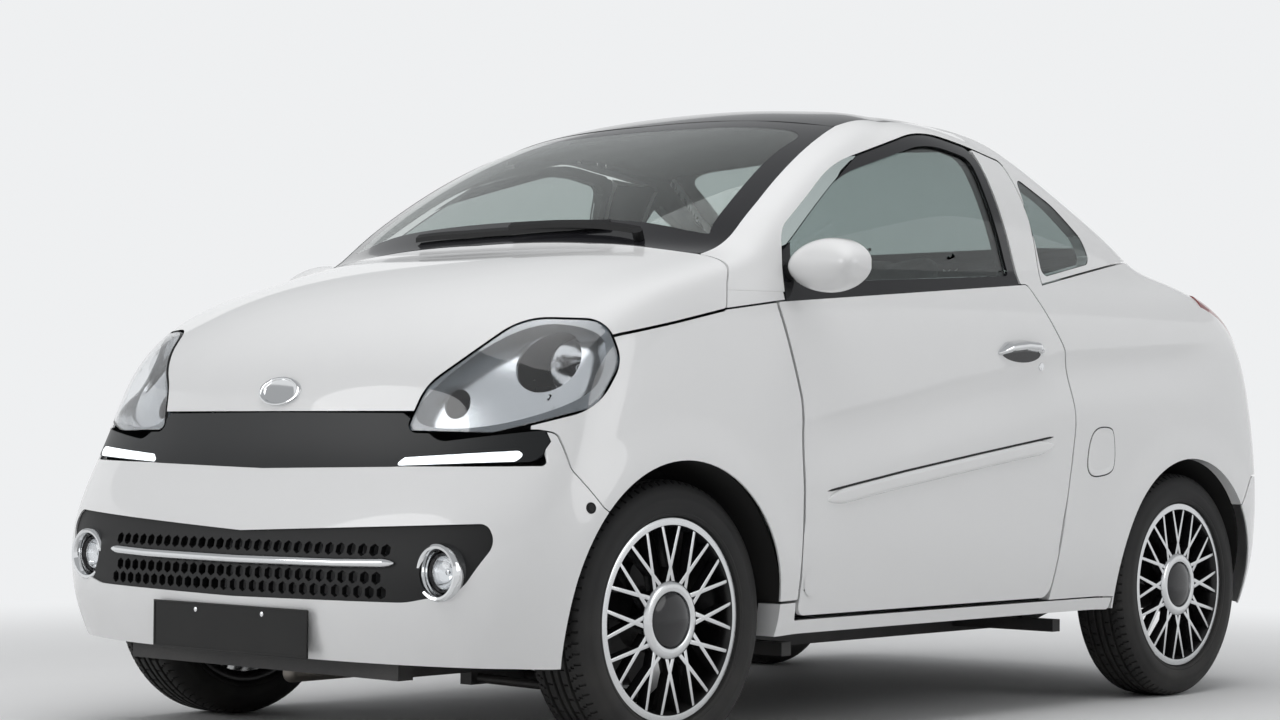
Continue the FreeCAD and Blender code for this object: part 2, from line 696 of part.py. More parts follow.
def cap_point(x, y, depth):
    """The point under the skin that stands at this place in the top view."""
    at = V(abs(x), y, 1440 if y > -300 else 1100)
    for k in range(12):
        u, v = SKIN.parameter(at)
        at = V(abs(x), y, SKIN.value(u, v).z)
    inner = 1e-4
    normal = SKIN.normal(min(max(u, inner), 1 - inner), min(max(v, inner), 1 - inner))
    if normal.z < 0:
        normal = normal.multiply(-1)
    if x == 0:
        normal = V(0, normal.y, normal.z).normalize()
    at = at - normal * depth
    return V(math.copysign(at.x, x) if x else 0, at.y, at.z)


def cap_slab(half, y0, y1, outer, inner, nx, ny):
    def grid(depth):
        return [[cap_point(blend(-half, half, i / (nx - 1)), blend(y0, y1, j / (ny - 1)), depth)
                 for j in range(ny)] for i in range(nx)]
    return shell_between(grid(outer), grid(inner))


def roof_panel():
    skin = cap_slab(545, -285, 505, 0, ROOF_WALL, 15, 13)
    outline = [(0, -262)] + HEADER_FRONT[1::-1] + HEADER_REAR[::-1]
    return largest(skin.common(prism("top", halves(outline), 1100, 1600, SEALED_SEAM / 2)))


def windscreen():
    skin = slab((ring("bonnet"), ring("rail") + 0.02), (-station(7), station(7)), 1,
                1 + GLASS_WALL, 13, 19)
    outline = halves(GLASS_BASE + ARCH_INNER + HEADER_FRONT)
    return largest(skin.common(prism("top", outline, 900, 1600, SEALED_SEAM / 2)))


def rear_window():
    skin = slab((ring("bonnet"), ring("rail") + 0.02), (station(12.5), 2 - station(12.5)), 1,
                1 + GLASS_WALL, 13, 17)
    outline = halves(HEADER_REAR + ARCH_REAR + REAR_BASE[1:])
    return largest(skin.common(prism("top", outline, 900, 1600, SEALED_SEAM / 2)))


def quarter_glass():
    skin = slab((ring("bonnet"), ring("rail")), (station(9), station(15)), 1, 1 + GLASS_WALL,
                9, 11)
    return both_sides(largest(skin.common(prism("side", QUARTER_GLASS, 300, 900,
                                                SEAT_CLEARANCE))))


def rear_quarter():
    """The rear flank with the door pillar, up to the boot lid and down to the bumper."""
    skin = quarter_skin(0, QUARTER_WALL)
    outline = [(672, 266), (672, SILL_BOTTOM), (740, SILL_BOTTOM), (1001, 400), (1240, 470),
               (1330, 560, 20), (1600, 560), (1600, 1300), (905, 1300), (905, 1112)] + \
              BELT_SEAM[1::-1] + \
              [(416, 1180, 100), (400, 1330, 20), (262, 1350, 8), (312, 1019, 8)] + \
              DOOR_REAR[::-1][:-1] + [(398, 266)]
    shape = skin.common(prism("side", outline, 0, 900, GAP / 2))
    lid = prism("top", halves(BOOT_TOP), 900, 1300, -GAP / 2)
    tail = prism("front", halves(BOOT_TAIL), -1700, -1200, -GAP / 2)
    inside = prism("top", halves(REAR_BASE_ROOM), 900, 1300, -SEALED_SEAM / 2)
    lamp = prism("front", TAIL_LAMP, -1700, -1150)
    shape = shape.cut([wheel_cut(REAR_AXLE_Y, REAR_ARCH_RADIUS), lid, tail, inside, lamp])
    half = largest(shape)
    return half.fuse(mirrored(half)).removeSplitter()


def boot_lid():
    skin = slab((ring("upper"), ring("glass")), (station(13), 2 - station(13)), 0, HOOD_WALL,
                13, 17)
    lid = prism("top", halves(BOOT_TOP), 600, 1300, GAP / 2)
    lid.translate(V(0, BOOT_FRONT_ROOM, 0))
    top = skin.common(lid.common(prism("top", halves(BOOT_TOP), 600, 1300, GAP / 2)))
    tail = prism("front", halves(BOOT_TAIL), -1700, -1200, GAP / 2)
    deck = prism("side", [(900, 1000), (1385, 1000), (1385, 1300), (900, 1300)], -600, 600)
    arms = [boot_arm(side) for side in (1, -1)]
    return largest(fuse([largest(top.common(tail.fuse(deck)))] + arms))


def boot_arm(side):
    """A gooseneck from the lid's front edge round the deck to the hinge pin."""
    y, z = BOOT_HINGE
    x = side * 450
    points = [V(x, y, z), V(x, y + 30, z - 150), V(x, y + 110, z - 150), V(x, y + 172, z - 60),
              V(x, y + 184, z + 24)]
    neck = tube(points, 8)
    eye = cylinder(V(x - 9, y, z), V(x + 9, y, z), 13)
    return fuse([neck, eye]).cut(cylinder(V(x - 20, y, z), V(x + 20, y, z),
                                          6 + SPINDLE_CLEARANCE))


def rear_bumper():
    skin = tail_skin(0, PANEL_WALL)
    outline = [(1100, 222), (1100, 480), (1240, 470), (1330, 560, 20), (1600, 560), (1600, 222)]
    shape = skin.common(prism("side", outline, -900, 900, GAP / 2))
    return largest(shape.cut(wheel_cut(REAR_AXLE_Y, REAR_ARCH_RADIUS)))


def tail_lamps():
    skin = slab((ring("lip"), ring("base")), (station(12), station(17.4)), -3, 40, 9, 11)
    return both_sides(largest(skin.common(prism("front", TAIL_LAMP, -1700, -1150,
                                                SEAT_CLEARANCE))))


def sills():
    shape = sill_skin(2, SILL_WALL).common(prism("side", SILL, 300, 900, 0))
    return both_sides(largest(shape.cut(wheel_cut(FRONT_AXLE_Y, FRONT_ARCH_RADIUS))))


def stepped(rows, stations, depths, outline, insets):
    """A panel whose hidden inner part stands back from its shut lines."""
    outer, step, inner = depths
    shapes = []
    for low, high, inset in ((outer, step, insets[0]), (step - 0.5, inner, insets[1])):
        skin = slab((ring(rows[0]), ring(rows[1])), (station(stations[0]), station(stations[1])),
                    low, high, 11, 15)
        shapes.append(largest(skin.common(prism("side", outline, 300, 900, inset))))
    return fuse(shapes)


def door_shell():
    shape = stepped(("bottom", "glass"), (6, 12.4), (0, DOOR_STEP, DOOR_WALL),
                    door_panel_edges(GAP / 2 - 0.15), (GAP / 2, DOOR_REBATE))
    pocket = prism("side", DOOR_POCKET, 300, 900)
    deep = slab((ring("skirt"), ring("glass")), (station(7), station(12.4)),
                DOOR_WALL - POCKET_DEPTH, DOOR_WALL + 10, 11, 13)
    shape = shape.cut([deep.common(pocket)] + [hinge_slot(z) for z in HINGE_LEVELS])
    pins = [door_pin(z) for z in HINGE_LEVELS]
    return largest(fuse([largest(shape)] + pins))


def hinge_slot(z):
    """Room in the door's front edge for one fixed hinge arm through the whole swing."""
    x, y = DOOR_HINGE_X, DOOR_HINGE_Y
    half = HINGE_ARM / 2 + 5
    room = cylinder(V(x, y, z - half), V(x, y, z + half), HINGE_EYE + 1.5)
    wedge = prism("top", [(x - 200, y + 17), (x - 30, y + 17), (x - 4, y + 11), (x + 4, y - 11),
                          (x - 30, y - 120), (x - 200, y - 120)], z - half, z + half)
    return room.fuse(wedge)


def door_pin(z):
    x, y = DOOR_HINGE_X, DOOR_HINGE_Y
    half = HINGE_ARM / 2 + 12
    return cylinder(V(x, y, z - half), V(x, y, z + half), HINGE_PIN)


def door_hinges():
    """The pillar with its two fixed hinge arms, and the flange that carries the wing."""
    x, y = DOOR_HINGE_X, DOOR_HINGE_Y
    low, high = HINGE_LEVELS
    pieces = [box(600, 640, -690, -655, 462, 1010), box(552, 604, -656, -648.3, 462, 880)]
    for z in HINGE_LEVELS:
        arm = box(606, x, y - 8, y + 8, z - HINGE_ARM / 2, z + HINGE_ARM / 2)
        eye = cylinder(V(x, y, z - HINGE_ARM / 2), V(x, y, z + HINGE_ARM / 2), HINGE_EYE)
        pieces += [arm, eye]
    pieces.append(box(606, 630, -660, y + 8, high - HINGE_ARM / 2, high + HINGE_ARM / 2))
    pieces.append(box(612, 636, y - 20, y + 20, 250.3, low + HINGE_ARM / 2))
    pieces.append(box(600, 800, -690, -662, 860, 872))
    shape = fuse(pieces)
    skin = slab((ring("lip"), ring("glass")), (station(4), station(9)), -60,
                PANEL_WALL + SEAT_CLEARANCE, 7, 9)
    arch = slab((ring("brow"), ring("glass")), (station(4), station(9)), -60,
                ARCH_WALL + SEAT_CLEARANCE, 7, 9)
    arch = arch.common(box(0, 900, -900, -500, 900, 1300))
    shape = shape.cut([skin, arch] + [cylinder(V(x, y, z - 30), V(x, y, z + 30),
                                              HINGE_PIN + SPINDLE_CLEARANCE)
                                     for z in HINGE_LEVELS])
    inside = [solid for solid in shape.Solids if solid.CenterOfMass.x < DOOR_HINGE_X]
    return both_sides(Part.makeCompound(inside))


def door_frame():
    """The black frame round the door glass, with the strip along the belt."""
    drop = GAP / 2 - 0.15
    outline = [(p[0], p[1] - drop, p[2]) if k in (0, len(WINDOW) - 1) else p
               for k, p in enumerate(WINDOW)]
    shape = stepped(("brow", "roof"), (5, 12.4), (2, DOOR_STEP, FRAME_WALL), outline,
                    (GAP / 2, FRAME_REBATE))
    return largest(shape.cut(prism("side", WINDOW_GLASS, 300, 900)))


def door_glass():
    skin = slab((ring("brow"), ring("roof")), (station(5), station(12.4)), 8,
                8 + GLASS_WALL, 11, 15)
    return largest(skin.common(prism("side", WINDOW_GLASS, 300, 900, SEAT_CLEARANCE)))


def mirror_shell():
    """A housing with a rounded front, deepest at its outer end, and a bed for the glass."""
    wires = []
    for share in MIRROR_SHARES:
        height = MIRROR_HEIGHT * math.sqrt(1 - share ** 2)
        depth = (1 - share ** 8) ** 0.25 * (MIRROR_DEPTH + MIRROR_SWEEP * share)
        corners = []
        for k in range(MIRROR_SIDES + 1):
            angle = math.pi * (k / MIRROR_SIDES - 0.5)
            corners.append(MIRROR + V(MIRROR_HALF * share,
                                      -depth * max(math.cos(angle), 0) ** 0.7,
                                      height * math.sin(angle)))
        wires.append(Part.makePolygon(corners + corners[:1]))
    shell = Part.makeLoft(wires, True, True)
    half, tall, deep = MIRROR_BED
    corner = tall - 2
    outline = [(MIRROR.x + i * half, MIRROR.z + j * tall, corner)
               for i, j in ((-1, -1), (-1, 1), (1, 1), (1, -1))]
    return shell.cut(prism("front", outline, -MIRROR.y - 1, -MIRROR.y + deep))


def mirror_arm():
    foot = V(676, MIRROR_ARM_Y, 1004)
    elbow = V(716, MIRROR_ARM_Y, 1010)
    end = V(MIRROR.x - MIRROR_HALF * 0.62, MIRROR_ARM_Y, MIRROR.z)
    return tube([foot, elbow, end], 12)


def mirror():
    arm = mirror_arm().cut(frame_skin(2 - SEAT_CLEARANCE, 80))
    return fuse([mirror_shell(), largest(arm)])


def door_handle():
    """A bowed pull with its lock barrel at the rear end."""
    skin = slab((ring("lip"), ring("bonnet")), (station(8.5), station(12)), -HANDLE_RISE,
                -SEAT_CLEARANCE, 6, 7)
    pull = skin.common(prism("side", HANDLE, 300, 900))
    gap_room = slab((ring("lip"), ring("bonnet")), (station(8.5), station(12)), -HANDLE_RISE + 8,
                    1, 6, 7)
    finger = [(196, 818), (300, 826), (300, 902), (196, 894)]
    return largest(pull.cut(gap_room.common(prism("side", finger, 300, 900))))


def tyre(y):
    """A low tyre with rounded shoulders and three grooves, its bead seats on the rim."""
    half = TYRE_WIDTH / 2
    bead = RIM_RADIUS + SEAT_CLEARANCE
    lip = RIM_LIP_RADIUS + 0.5
    outer = TYRE_RADIUS
    face_x = half - RIM_LIP_INSET
    section = [(bead, -half + 14), (RIM_LIP_RADIUS, -half + 9.6), (lip, -half + 9.6),
               (lip + 2, -half + 2), (bead + 46, -half), (outer - 16, -half + 7),
               (outer, -half + 24), (outer, half - 24), (outer - 16, half - 7),
               (bead + 46, half), (lip + 2, half - 4), (lip, face_x - 7),
               (RIM_LIP_RADIUS, face_x - 7), (bead, face_x - 13)]
    face = Part.Face(rounded(section))
    ring_solid = face.revolve(V(0, 0, 0), V(0, 1, 0), 360)
    return on_axle(ring_solid, TYRE_OUTER_X - half, y)


def on_axle(shape, x, y):
    """Turns a piece made round the Y axis so that it spins about X at this wheel."""
    shape.rotate(V(0, 0, 0), V(0, 0, 1), -90)
    shape.translate(V(x, y, TYRE_RADIUS))
    return shape


def rim(y):
    """A cast rim: barrel, lip, twelve crossed pairs of spokes, hub ring and domed cap."""
    half = TYRE_WIDTH / 2
    face_x = half - RIM_LIP_INSET
    barrel = [(RIM_RADIUS, -half + 13), (RIM_LIP_RADIUS, -half + 9), (RIM_LIP_RADIUS, -half + 4),
              (RIM_RADIUS - 8, -half + 4), (RIM_RADIUS - 10, 20), (RIM_RADIUS - 8, face_x - 10),
              (RIM_RADIUS + 4, face_x), (RIM_LIP_RADIUS, face_x), (RIM_LIP_RADIUS, face_x - 6),
              (RIM_RADIUS, face_x - 12)]
    parts = [Part.Face(Part.makePolygon([V(a, b, 0) for a, b in barrel + barrel[:1]])).revolve(
        V(0, 0, 0), V(0, 1, 0), 360)]
    hub = [(SPINDLE_RADIUS + SPINDLE_CLEARANCE, face_x - 52), (HUB_RING_RADIUS - 6, face_x - 52),
           (HUB_RING_RADIUS, face_x - 8), (HUB_RING_RADIUS, face_x - 4),
           (HUB_RING_RADIUS - 6, face_x), (HUB_RADIUS + 4, face_x), (HUB_RADIUS, face_x - 4),
           (HUB_RADIUS - 2, face_x + 3), (HUB_RADIUS * 0.5, face_x + 7), (0, face_x + 8),
           (0, face_x - 20), (SPINDLE_RADIUS + SPINDLE_CLEARANCE, face_x - 20)]
    parts.append(Part.Face(Part.makePolygon([V(a, b, 0) for a, b in hub + hub[:1]])).revolve(
        V(0, 0, 0), V(0, 1, 0), 360))
    pitch = 2 * math.pi / SPOKE_PAIRS
    inner, outer = HUB_RING_RADIUS - 4, RIM_RADIUS - 4
    for k in range(SPOKE_PAIRS):
        for lean in (-1, 1):
            a0 = k * pitch - lean * SPOKE_CROSS_IN * pitch
            a1 = k * pitch + lean * SPOKE_CROSS_OUT * pitch
            start = V(inner * math.cos(a0), 0, inner * math.sin(a0))
            end = V(outer * math.cos(a1), 0, outer * math.sin(a1))
            parts.append(spoke(start, end, face_x))
    holes = []
    for k in range(HUB_BOLTS):
        angle = 2 * math.pi * (k + 0.5) / HUB_BOLTS
        at = V(HUB_BOLT_CIRCLE / 2 * math.cos(angle), face_x - 60,
               HUB_BOLT_CIRCLE / 2 * math.sin(angle))
        holes.append(cylinder(at, at + V(0, 30, 0), HUB_BOLT_HOLE / 2))
    whole = parts[0].fuse(parts[1:])
    return on_axle(largest(whole.cut(holes)), TYRE_OUTER_X - half, y)


def spoke(start, end, face_x):
    along = end - start
    side = V(-along.z, 0, along.x).normalize() * (SPOKE_WIDTH / 2)
    low = [start - side, start + side, end + side, end - side]
    base = Part.Face(Part.makePolygon([p + V(0, face_x - SPOKE_DEPTH, 0) for p in low + low[:1]]))
    return base.extrude(V(0, SPOKE_DEPTH - 2, 0))


def tyre_front():
    return tyre(FRONT_AXLE_Y)


def tyre_rear():
    return tyre(REAR_AXLE_Y)


def rim_front():
    return rim(FRONT_AXLE_Y)


def rim_rear():
    return rim(REAR_AXLE_Y)


def kingpin_at(z):
    t = (z - KINGPIN_LOW.z) / (KINGPIN_HIGH.z - KINGPIN_LOW.z)
    return KINGPIN_LOW + (KINGPIN_HIGH - KINGPIN_LOW) * t


def knuckle():
    """Hub carrier: spindle, upright, ball joint socket, damper clamp and steering arm."""
    hub_x = TYRE_OUTER_X - TYRE_WIDTH / 2
    hub = V(hub_x, FRONT_AXLE_Y, TYRE_RADIUS)
    spindle = cylinder(V(hub_x - 22, hub.y, hub.z), V(SPINDLE_END_X, hub.y, hub.z),
                       SPINDLE_RADIUS)
    flange = cylinder(V(hub_x - 22, hub.y, hub.z), V(FLANGE_X, hub.y, hub.z), 66)
    upright = prism("side", [(hub.y - 30, BALL_Z - 12, 20), (hub.y + 30, BALL_Z - 12, 20), (hub.y + 46, 283, 30),
                             (hub.y + 26, 396, 20), (hub.y - 26, 396, 20),
                             (hub.y - 46, 283, 30)], hub_x - 62, hub_x - 18)
    socket = cylinder(kingpin_at(BALL_Z - 12), kingpin_at(BALL_Z + 26), 22)
    damper = cylinder(kingpin_at(372), kingpin_at(DAMPER_TOP), 24)
    arm = tube([V(hub_x - 40, hub.y + 20, RACK_Z), V(hub_x - 60, STEER_ARM_Y, RACK_Z)], 12)
    shape = fuse([upright, spindle, flange, socket, damper, arm])
    bore = cylinder(kingpin_at(DAMPER_TOP - 50), kingpin_at(DAMPER_TOP + 20),
                    STRUT_ROD + SPINDLE_CLEARANCE)
    ball = Part.makeSphere(BALL_RADIUS + SPINDLE_CLEARANCE, kingpin_at(BALL_Z))
    mouth = cylinder(kingpin_at(BALL_Z - 40), kingpin_at(BALL_Z), 9.5)
    return shape.cut([bore, ball, mouth])


def front_suspension():
    """Subframe beam, a lower arm and a spring tower for each side, and the steering rack."""
    beam = box(-280, 280, FRONT_AXLE_Y - 40, FRONT_AXLE_Y + 40, 150, RAIL_Z)
    rack = cylinder(V(-250, RACK_Y, RACK_Z), V(250, RACK_Y, RACK_Z), 22)
    rack = rack.cut(cylinder(V(-260, RACK_Y, RACK_Z), V(260, RACK_Y, RACK_Z),
                             RACK_BAR + RACK_CLEARANCE))
    riser = box(-200, 200, FRONT_AXLE_Y + 20, FRONT_AXLE_Y + 40, 152, RACK_Z - 18)
    bracket = box(-200, 200, FRONT_AXLE_Y + 38, RACK_Y + 10, RACK_Z - 38, RACK_Z - 18)
    bracket = bracket.cut(cylinder(V(-260, RACK_Y, RACK_Z), V(260, RACK_Y, RACK_Z), 20))
    pieces = [beam, rack, riser, bracket]
    rail = RAIL_X - RAIL_WIDTH / 2 - SEAT_CLEARANCE
    for side in (1, -1):
        def at(point):
            return V(side * point.x, point.y, point.z)
        end, ball = kingpin_at(ARM_END), kingpin_at(BALL_Z)
        pieces.append(box(*sorted((side * 262, side * rail)), FRONT_AXLE_Y - 140,
                          FRONT_AXLE_Y + 40, 134, 190))
        for y in (-120, 30):
            pieces.append(tube([at(V(278, FRONT_AXLE_Y + y, ARM_INNER)), at(end)],
                               ARM_RADIUS))
        pieces.append(Part.makeSphere(ARM_RADIUS + 4, at(end)))
        pieces.append(cylinder(at(end), at(ball), 7))
        pieces.append(Part.makeSphere(BALL_RADIUS, at(ball)))
    return fuse(pieces)


def struts():
    """Coil spring and upper damper of each front leg, under its tower."""
    seat, top = kingpin_at(DAMPER_TOP + 40), kingpin_at(STRUT_TOP)
    length = (top - seat).Length
    profile = [(0, 0), (56, 0), (56, 6)]
    turns = 4
    for k in range(turns):
        low = 8 + k * (length - 20) / turns
        high = 8 + (k + 1) * (length - 20) / turns
        profile += [(38, low), (50, blend(low, high, 0.5))]
    profile += [(38, length - 10), (STRUT_HEAD, length - 8), (STRUT_HEAD, length), (0, length)]
    wire = Part.makePolygon([V(a, 0, b) for a, b in profile + profile[:1]])
    spring = Part.Face(wire).revolve(V(0, 0, 0), V(0, 0, 1), 360)
    spring.Placement = FreeCAD.Placement(seat, FreeCAD.Rotation(V(0, 0, 1), top - seat))
    rod = cylinder(kingpin_at(DAMPER_TOP - 45), blend(seat, top, 0.1), STRUT_ROD)
    return both_sides(fuse([spring, rod]))


def track_rods():
    """The rack's bar with the rod to each steering arm."""
    reach = TYRE_OUTER_X - TYRE_WIDTH / 2 - 60 - 22
    return cylinder(V(-reach, RACK_Y, RACK_Z), V(reach, RACK_Y, RACK_Z), RACK_BAR)


def chassis_frame():
    """Two long rails with four cross tubes and the bumper beams at their ends."""
    pieces = []
    for side in (1, -1):
        x0, x1 = sorted((side * (RAIL_X - RAIL_WIDTH / 2), side * (RAIL_X + RAIL_WIDTH / 2)))
        pieces.append(box(x0, x1, -1400, 700, RAIL_Z, RAIL_Z + RAIL_HEIGHT))
        rise = prism("side", [(640, RAIL_Z), (760, RAIL_Z), (900, KICK_Z), (1420, KICK_Z),
                              (1420, KICK_Z + RAIL_HEIGHT), (880, KICK_Z + RAIL_HEIGHT),
                              (700, RAIL_Z + RAIL_HEIGHT), (640, RAIL_Z + RAIL_HEIGHT)], x0, x1)
        pieces.append(rise)
    for y in (-1300, -560, 60, 600):
        pieces.append(box(-RAIL_X, RAIL_X, y - 20, y + 20, RAIL_Z + 8, RAIL_Z + 48))
    pieces.append(box(-420, 420, -1440, -1400, RAIL_Z + 4, RAIL_Z + 64))
    pieces.append(box(-RAIL_X, RAIL_X, 1000, 1040, KICK_Z + 8, KICK_Z + 48))
    pieces.append(box(-460, 460, 1420, 1455, KICK_Z, KICK_Z + 60))
    for side in (1, -1):
        x0, x1 = sorted((side * (RAIL_X - 10), side * 640))
        for y in (-500, 560):
            pieces.append(box(x0, x1, y - 16, y + 16, RAIL_Z + 14, RAIL_Z + 44))
    pieces.append(box(-150, 150, -1320, -1280, RAIL_Z + 40, RAIL_Z + RAIL_HEIGHT + 0.7))
    nose = box(-360, 360, -1520, -1440, RAIL_Z + 50, RAIL_Z + 64)
    nose = nose.cut(front_skin(-60, PANEL_WALL + SEAT_CLEARANCE))
    tail = box(-400, 400, 1450, 1520, KICK_Z + 20, KICK_Z + 34)
    tail = tail.cut(tail_skin(-60, PANEL_WALL + SEAT_CLEARANCE))
    return fuse(pieces + [largest(nose), largest(tail)])


def floor_pan():
    top = RAIL_Z + RAIL_HEIGHT
    pan = box(-CABIN_HALF, CABIN_HALF, FLOOR_FRONT, FLOOR_REAR, top, top + FLOOR_SHEET)
    tunnel = prism("front", [(-90, top), (90, top), (70, top + 90, 20), (-70, top + 90, 20)],
                   -560, -FLOOR_FRONT)
    hollow = prism("front", [(-84, top - 1), (84, top - 1), (64, top + 84, 16),
                             (-64, top + 84, 16)], -640, 600)
    pan = fuse([pan, tunnel]).cut(hollow)
    edges = [box(side * CABIN_HALF - (FLOOR_SHEET if side > 0 else 0),
                 side * CABIN_HALF + (0 if side > 0 else FLOOR_SHEET), FLOOR_FRONT, FLOOR_REAR, top,
                 top + 60) for side in (1, -1)]
    flange = box(606, 760, DOOR_HINGE_Y - 20, 600, 240, 250)
    flange = largest(flange.cut(sill_skin(-60, SILL_WALL + SEAT_CLEARANCE)))
    return fuse([pan] + edges + [flange, mirrored(flange)])


def bulkhead():
    """The toe board and dash wall between engine and cabin, with the spring towers."""
    top = RAIL_Z + RAIL_HEIGHT
    wall = prism("side", [(-596, top), (-588, top), (-588, top + 40), (-640, top + 190),
                          (-640, 900), (-720, 985), (-726, 979), (-648, 896),
                          (-648, top + 190), (-596, top + 40)], -560, 560)
    towers = []
    for side in (1, -1):
        peak = kingpin_at(STRUT_TOP)
        x = side * peak.x
        plate = box(x - 62, x + 62, FRONT_AXLE_Y - 70, FRONT_AXLE_Y + 70, peak.z - 6,
                    peak.z + 24)
        web = prism("side", [(FRONT_AXLE_Y - 70, peak.z), (FRONT_AXLE_Y + 70, peak.z),
                             (-640, 620), (-640, 860), (FRONT_AXLE_Y + 40, peak.z + 60),
                             (FRONT_AXLE_Y - 70, peak.z + 8)],
                    *sorted((x - side * 68, x - side * 60)))
        leg = box(*sorted((x - side * 68, x - side * 60)), FRONT_AXLE_Y - 70,
                  FRONT_AXLE_Y + 70, RAIL_Z + RAIL_HEIGHT, peak.z + 4)
        towers += [plate, web, leg]
        y, z = BONNET_HINGE
        x0, x1 = sorted((side * 552, side * 560))
        towers.append(prism("side", [(y - 10, z + 10, 6), (y + 10, z + 10, 6), (-682, 946),
                                     (-712, 968)], x0, x1))
        towers.append(bonnet_pin(side))
    shape = fuse([wall] + towers)
    heads = []
    for side in (1, -1):
        low, top = kingpin_at(STRUT_TOP - 60), kingpin_at(STRUT_TOP)
        head = cylinder(low, top + (top - low).normalize() * SEAT_CLEARANCE, STRUT_HEAD + 1)
        heads.append(head if side > 0 else mirrored(head))
    return shape.cut(heads)


def wheelhouses():
    """A curved liner over each wheel, open below and to the outside."""
    pieces = []
    for y, inner_x, radius in ((FRONT_AXLE_Y, FRONT_LINER_X, FRONT_ARCH_RADIUS + 8),
                               (REAR_AXLE_Y, REAR_LINER_X, REAR_ARCH_RADIUS + 8)):
        outer_x = LINER_OUTER_X
        drum = cylinder(V(inner_x, y, TYRE_RADIUS), V(outer_x, y, TYRE_RADIUS), radius + 4)
        hollow = cylinder(V(inner_x + 4, y, TYRE_RADIUS), V(outer_x + 1, y, TYRE_RADIUS), radius)
        keep = box(0, 900, y - 600, y + 600, LINER_LOW, 900)
        shape = drum.cut(hollow).common(keep)
        if y < 0:
            rooms = [box(0, 566, y - 90, y + 190, 0, 820),
                     wing_skin(-60, WING_WALL + SEAT_CLEARANCE),
                     front_skin(-60, PANEL_WALL + SEAT_CLEARANCE)]
        else:
            rooms = [box(0, 560, y - 80, y + 80, 0, 362),
                     quarter_skin(-60, QUARTER_WALL + SEAT_CLEARANCE),
                     tail_skin(-60, PANEL_WALL + SEAT_CLEARANCE)]
        rooms.append(prism("side", SILL, 300, 900, -SEAT_CLEARANCE))
        pieces.append(largest(shape.cut(rooms)))
    return Part.makeCompound([both_sides(p) for p in pieces])


def engine_block():
    block = box(-210, 230, -1360, -1080, RAIL_Z + RAIL_HEIGHT + 1, 600)
    gearbox = box(-90, 230, -1080, -965, RAIL_Z + RAIL_HEIGHT + 1, 420)
    return block.fuse(gearbox).removeSplitter()


def rear_axle():
    """A beam with a trailing arm, stub axle and damper on each side."""
    beam = box(-520, 520, REAR_AXLE_Y - 30, REAR_AXLE_Y + 30, TYRE_RADIUS - 26, TYRE_RADIUS + 26)
    pieces = [beam]
    hub_x = TYRE_OUTER_X - TYRE_WIDTH / 2
    for side in (1, -1):
        def at(x, y, z):
            return V(side * x, y, z)
        pieces.append(tube([at(470, 640, RAIL_Z + 30), at(470, REAR_AXLE_Y, TYRE_RADIUS)], 20))
        pieces.append(cylinder(at(RAIL_X + RAIL_WIDTH / 2 + SEAT_CLEARANCE, 640, RAIL_Z + 30),
                               at(500, 640, RAIL_Z + 30), 24))
        pieces.append(cylinder(at(510, REAR_AXLE_Y, TYRE_RADIUS),
                               at(FLANGE_X, REAR_AXLE_Y, TYRE_RADIUS), 66))
        pieces.append(cylinder(at(510, REAR_AXLE_Y, TYRE_RADIUS),
                               at(SPINDLE_END_X, REAR_AXLE_Y, TYRE_RADIUS), SPINDLE_RADIUS))
        foot, head = at(400, REAR_AXLE_Y + 20, TYRE_RADIUS + 20), at(400, REAR_AXLE_Y + 20, 645.5)
        pieces.append(cylinder(foot, head, 20))
        pieces.append(cylinder(foot + (head - foot) * 0.25, head, 34))
    return fuse(pieces)


def exhaust():
    rail = RAIL_X - RAIL_WIDTH / 2 - SEAT_CLEARANCE
    silencer = cylinder(V(-rail, 1240, 300), V(200, 1240, 300), 62)
    pipe = tube([V(-210.3, -1150, 330), V(-233, -1150, 330), V(-233, -1150, 126),
                 V(-233, -880, 126), V(-200, -600, 149), V(-120, 640, 149),
                 V(-120, 780, 200), V(-120, 900, 216), V(-120, 1180, 250)], 19)
    tail = tube([V(160, 1250, 290), V(160, 1330, 290), V(230, 1400, 262), V(230, 1470, 250)], 19)
    return fuse([silencer, pipe, tail])


def dashboard():
    """The dash moulding with its hood, column shroud and the centre console."""
    profile = [(-640, 560, 20), (-640, 880), (-600, 1000, 60), (-470, 985, 40), (-400, 900, 50),
               (-410, 800, 30), (-500, 640, 60), (-590, 560, 10)]
    dash = prism("side", profile, -DASH_HALF, DASH_HALF)
    hood_profile = [(-560, 990), (-450, 1010, 40), (-414, 930, 20), (-450, 900)]
    cowl = prism("side", hood_profile, SEAT_X - 150, SEAT_X + 150)
    stack = prism("side", [(-560, RAIL_Z + RAIL_HEIGHT + 96), (-560, 700), (-430, 700),
                           (-330, 470, 60), (60, 430, 30), (60, RAIL_Z + RAIL_HEIGHT + 96)],
                  -61, 61)
    column = cylinder(COLUMN_TOP, COLUMN_TOP - COLUMN_AXIS * 180, 34)
    shape = fuse([dash, cowl, stack, column])
    return shape.cut(cylinder(COLUMN_TOP + COLUMN_AXIS * 30, COLUMN_TOP - COLUMN_AXIS * 60,
                              COLUMN_PIN + SPINDLE_CLEARANCE))


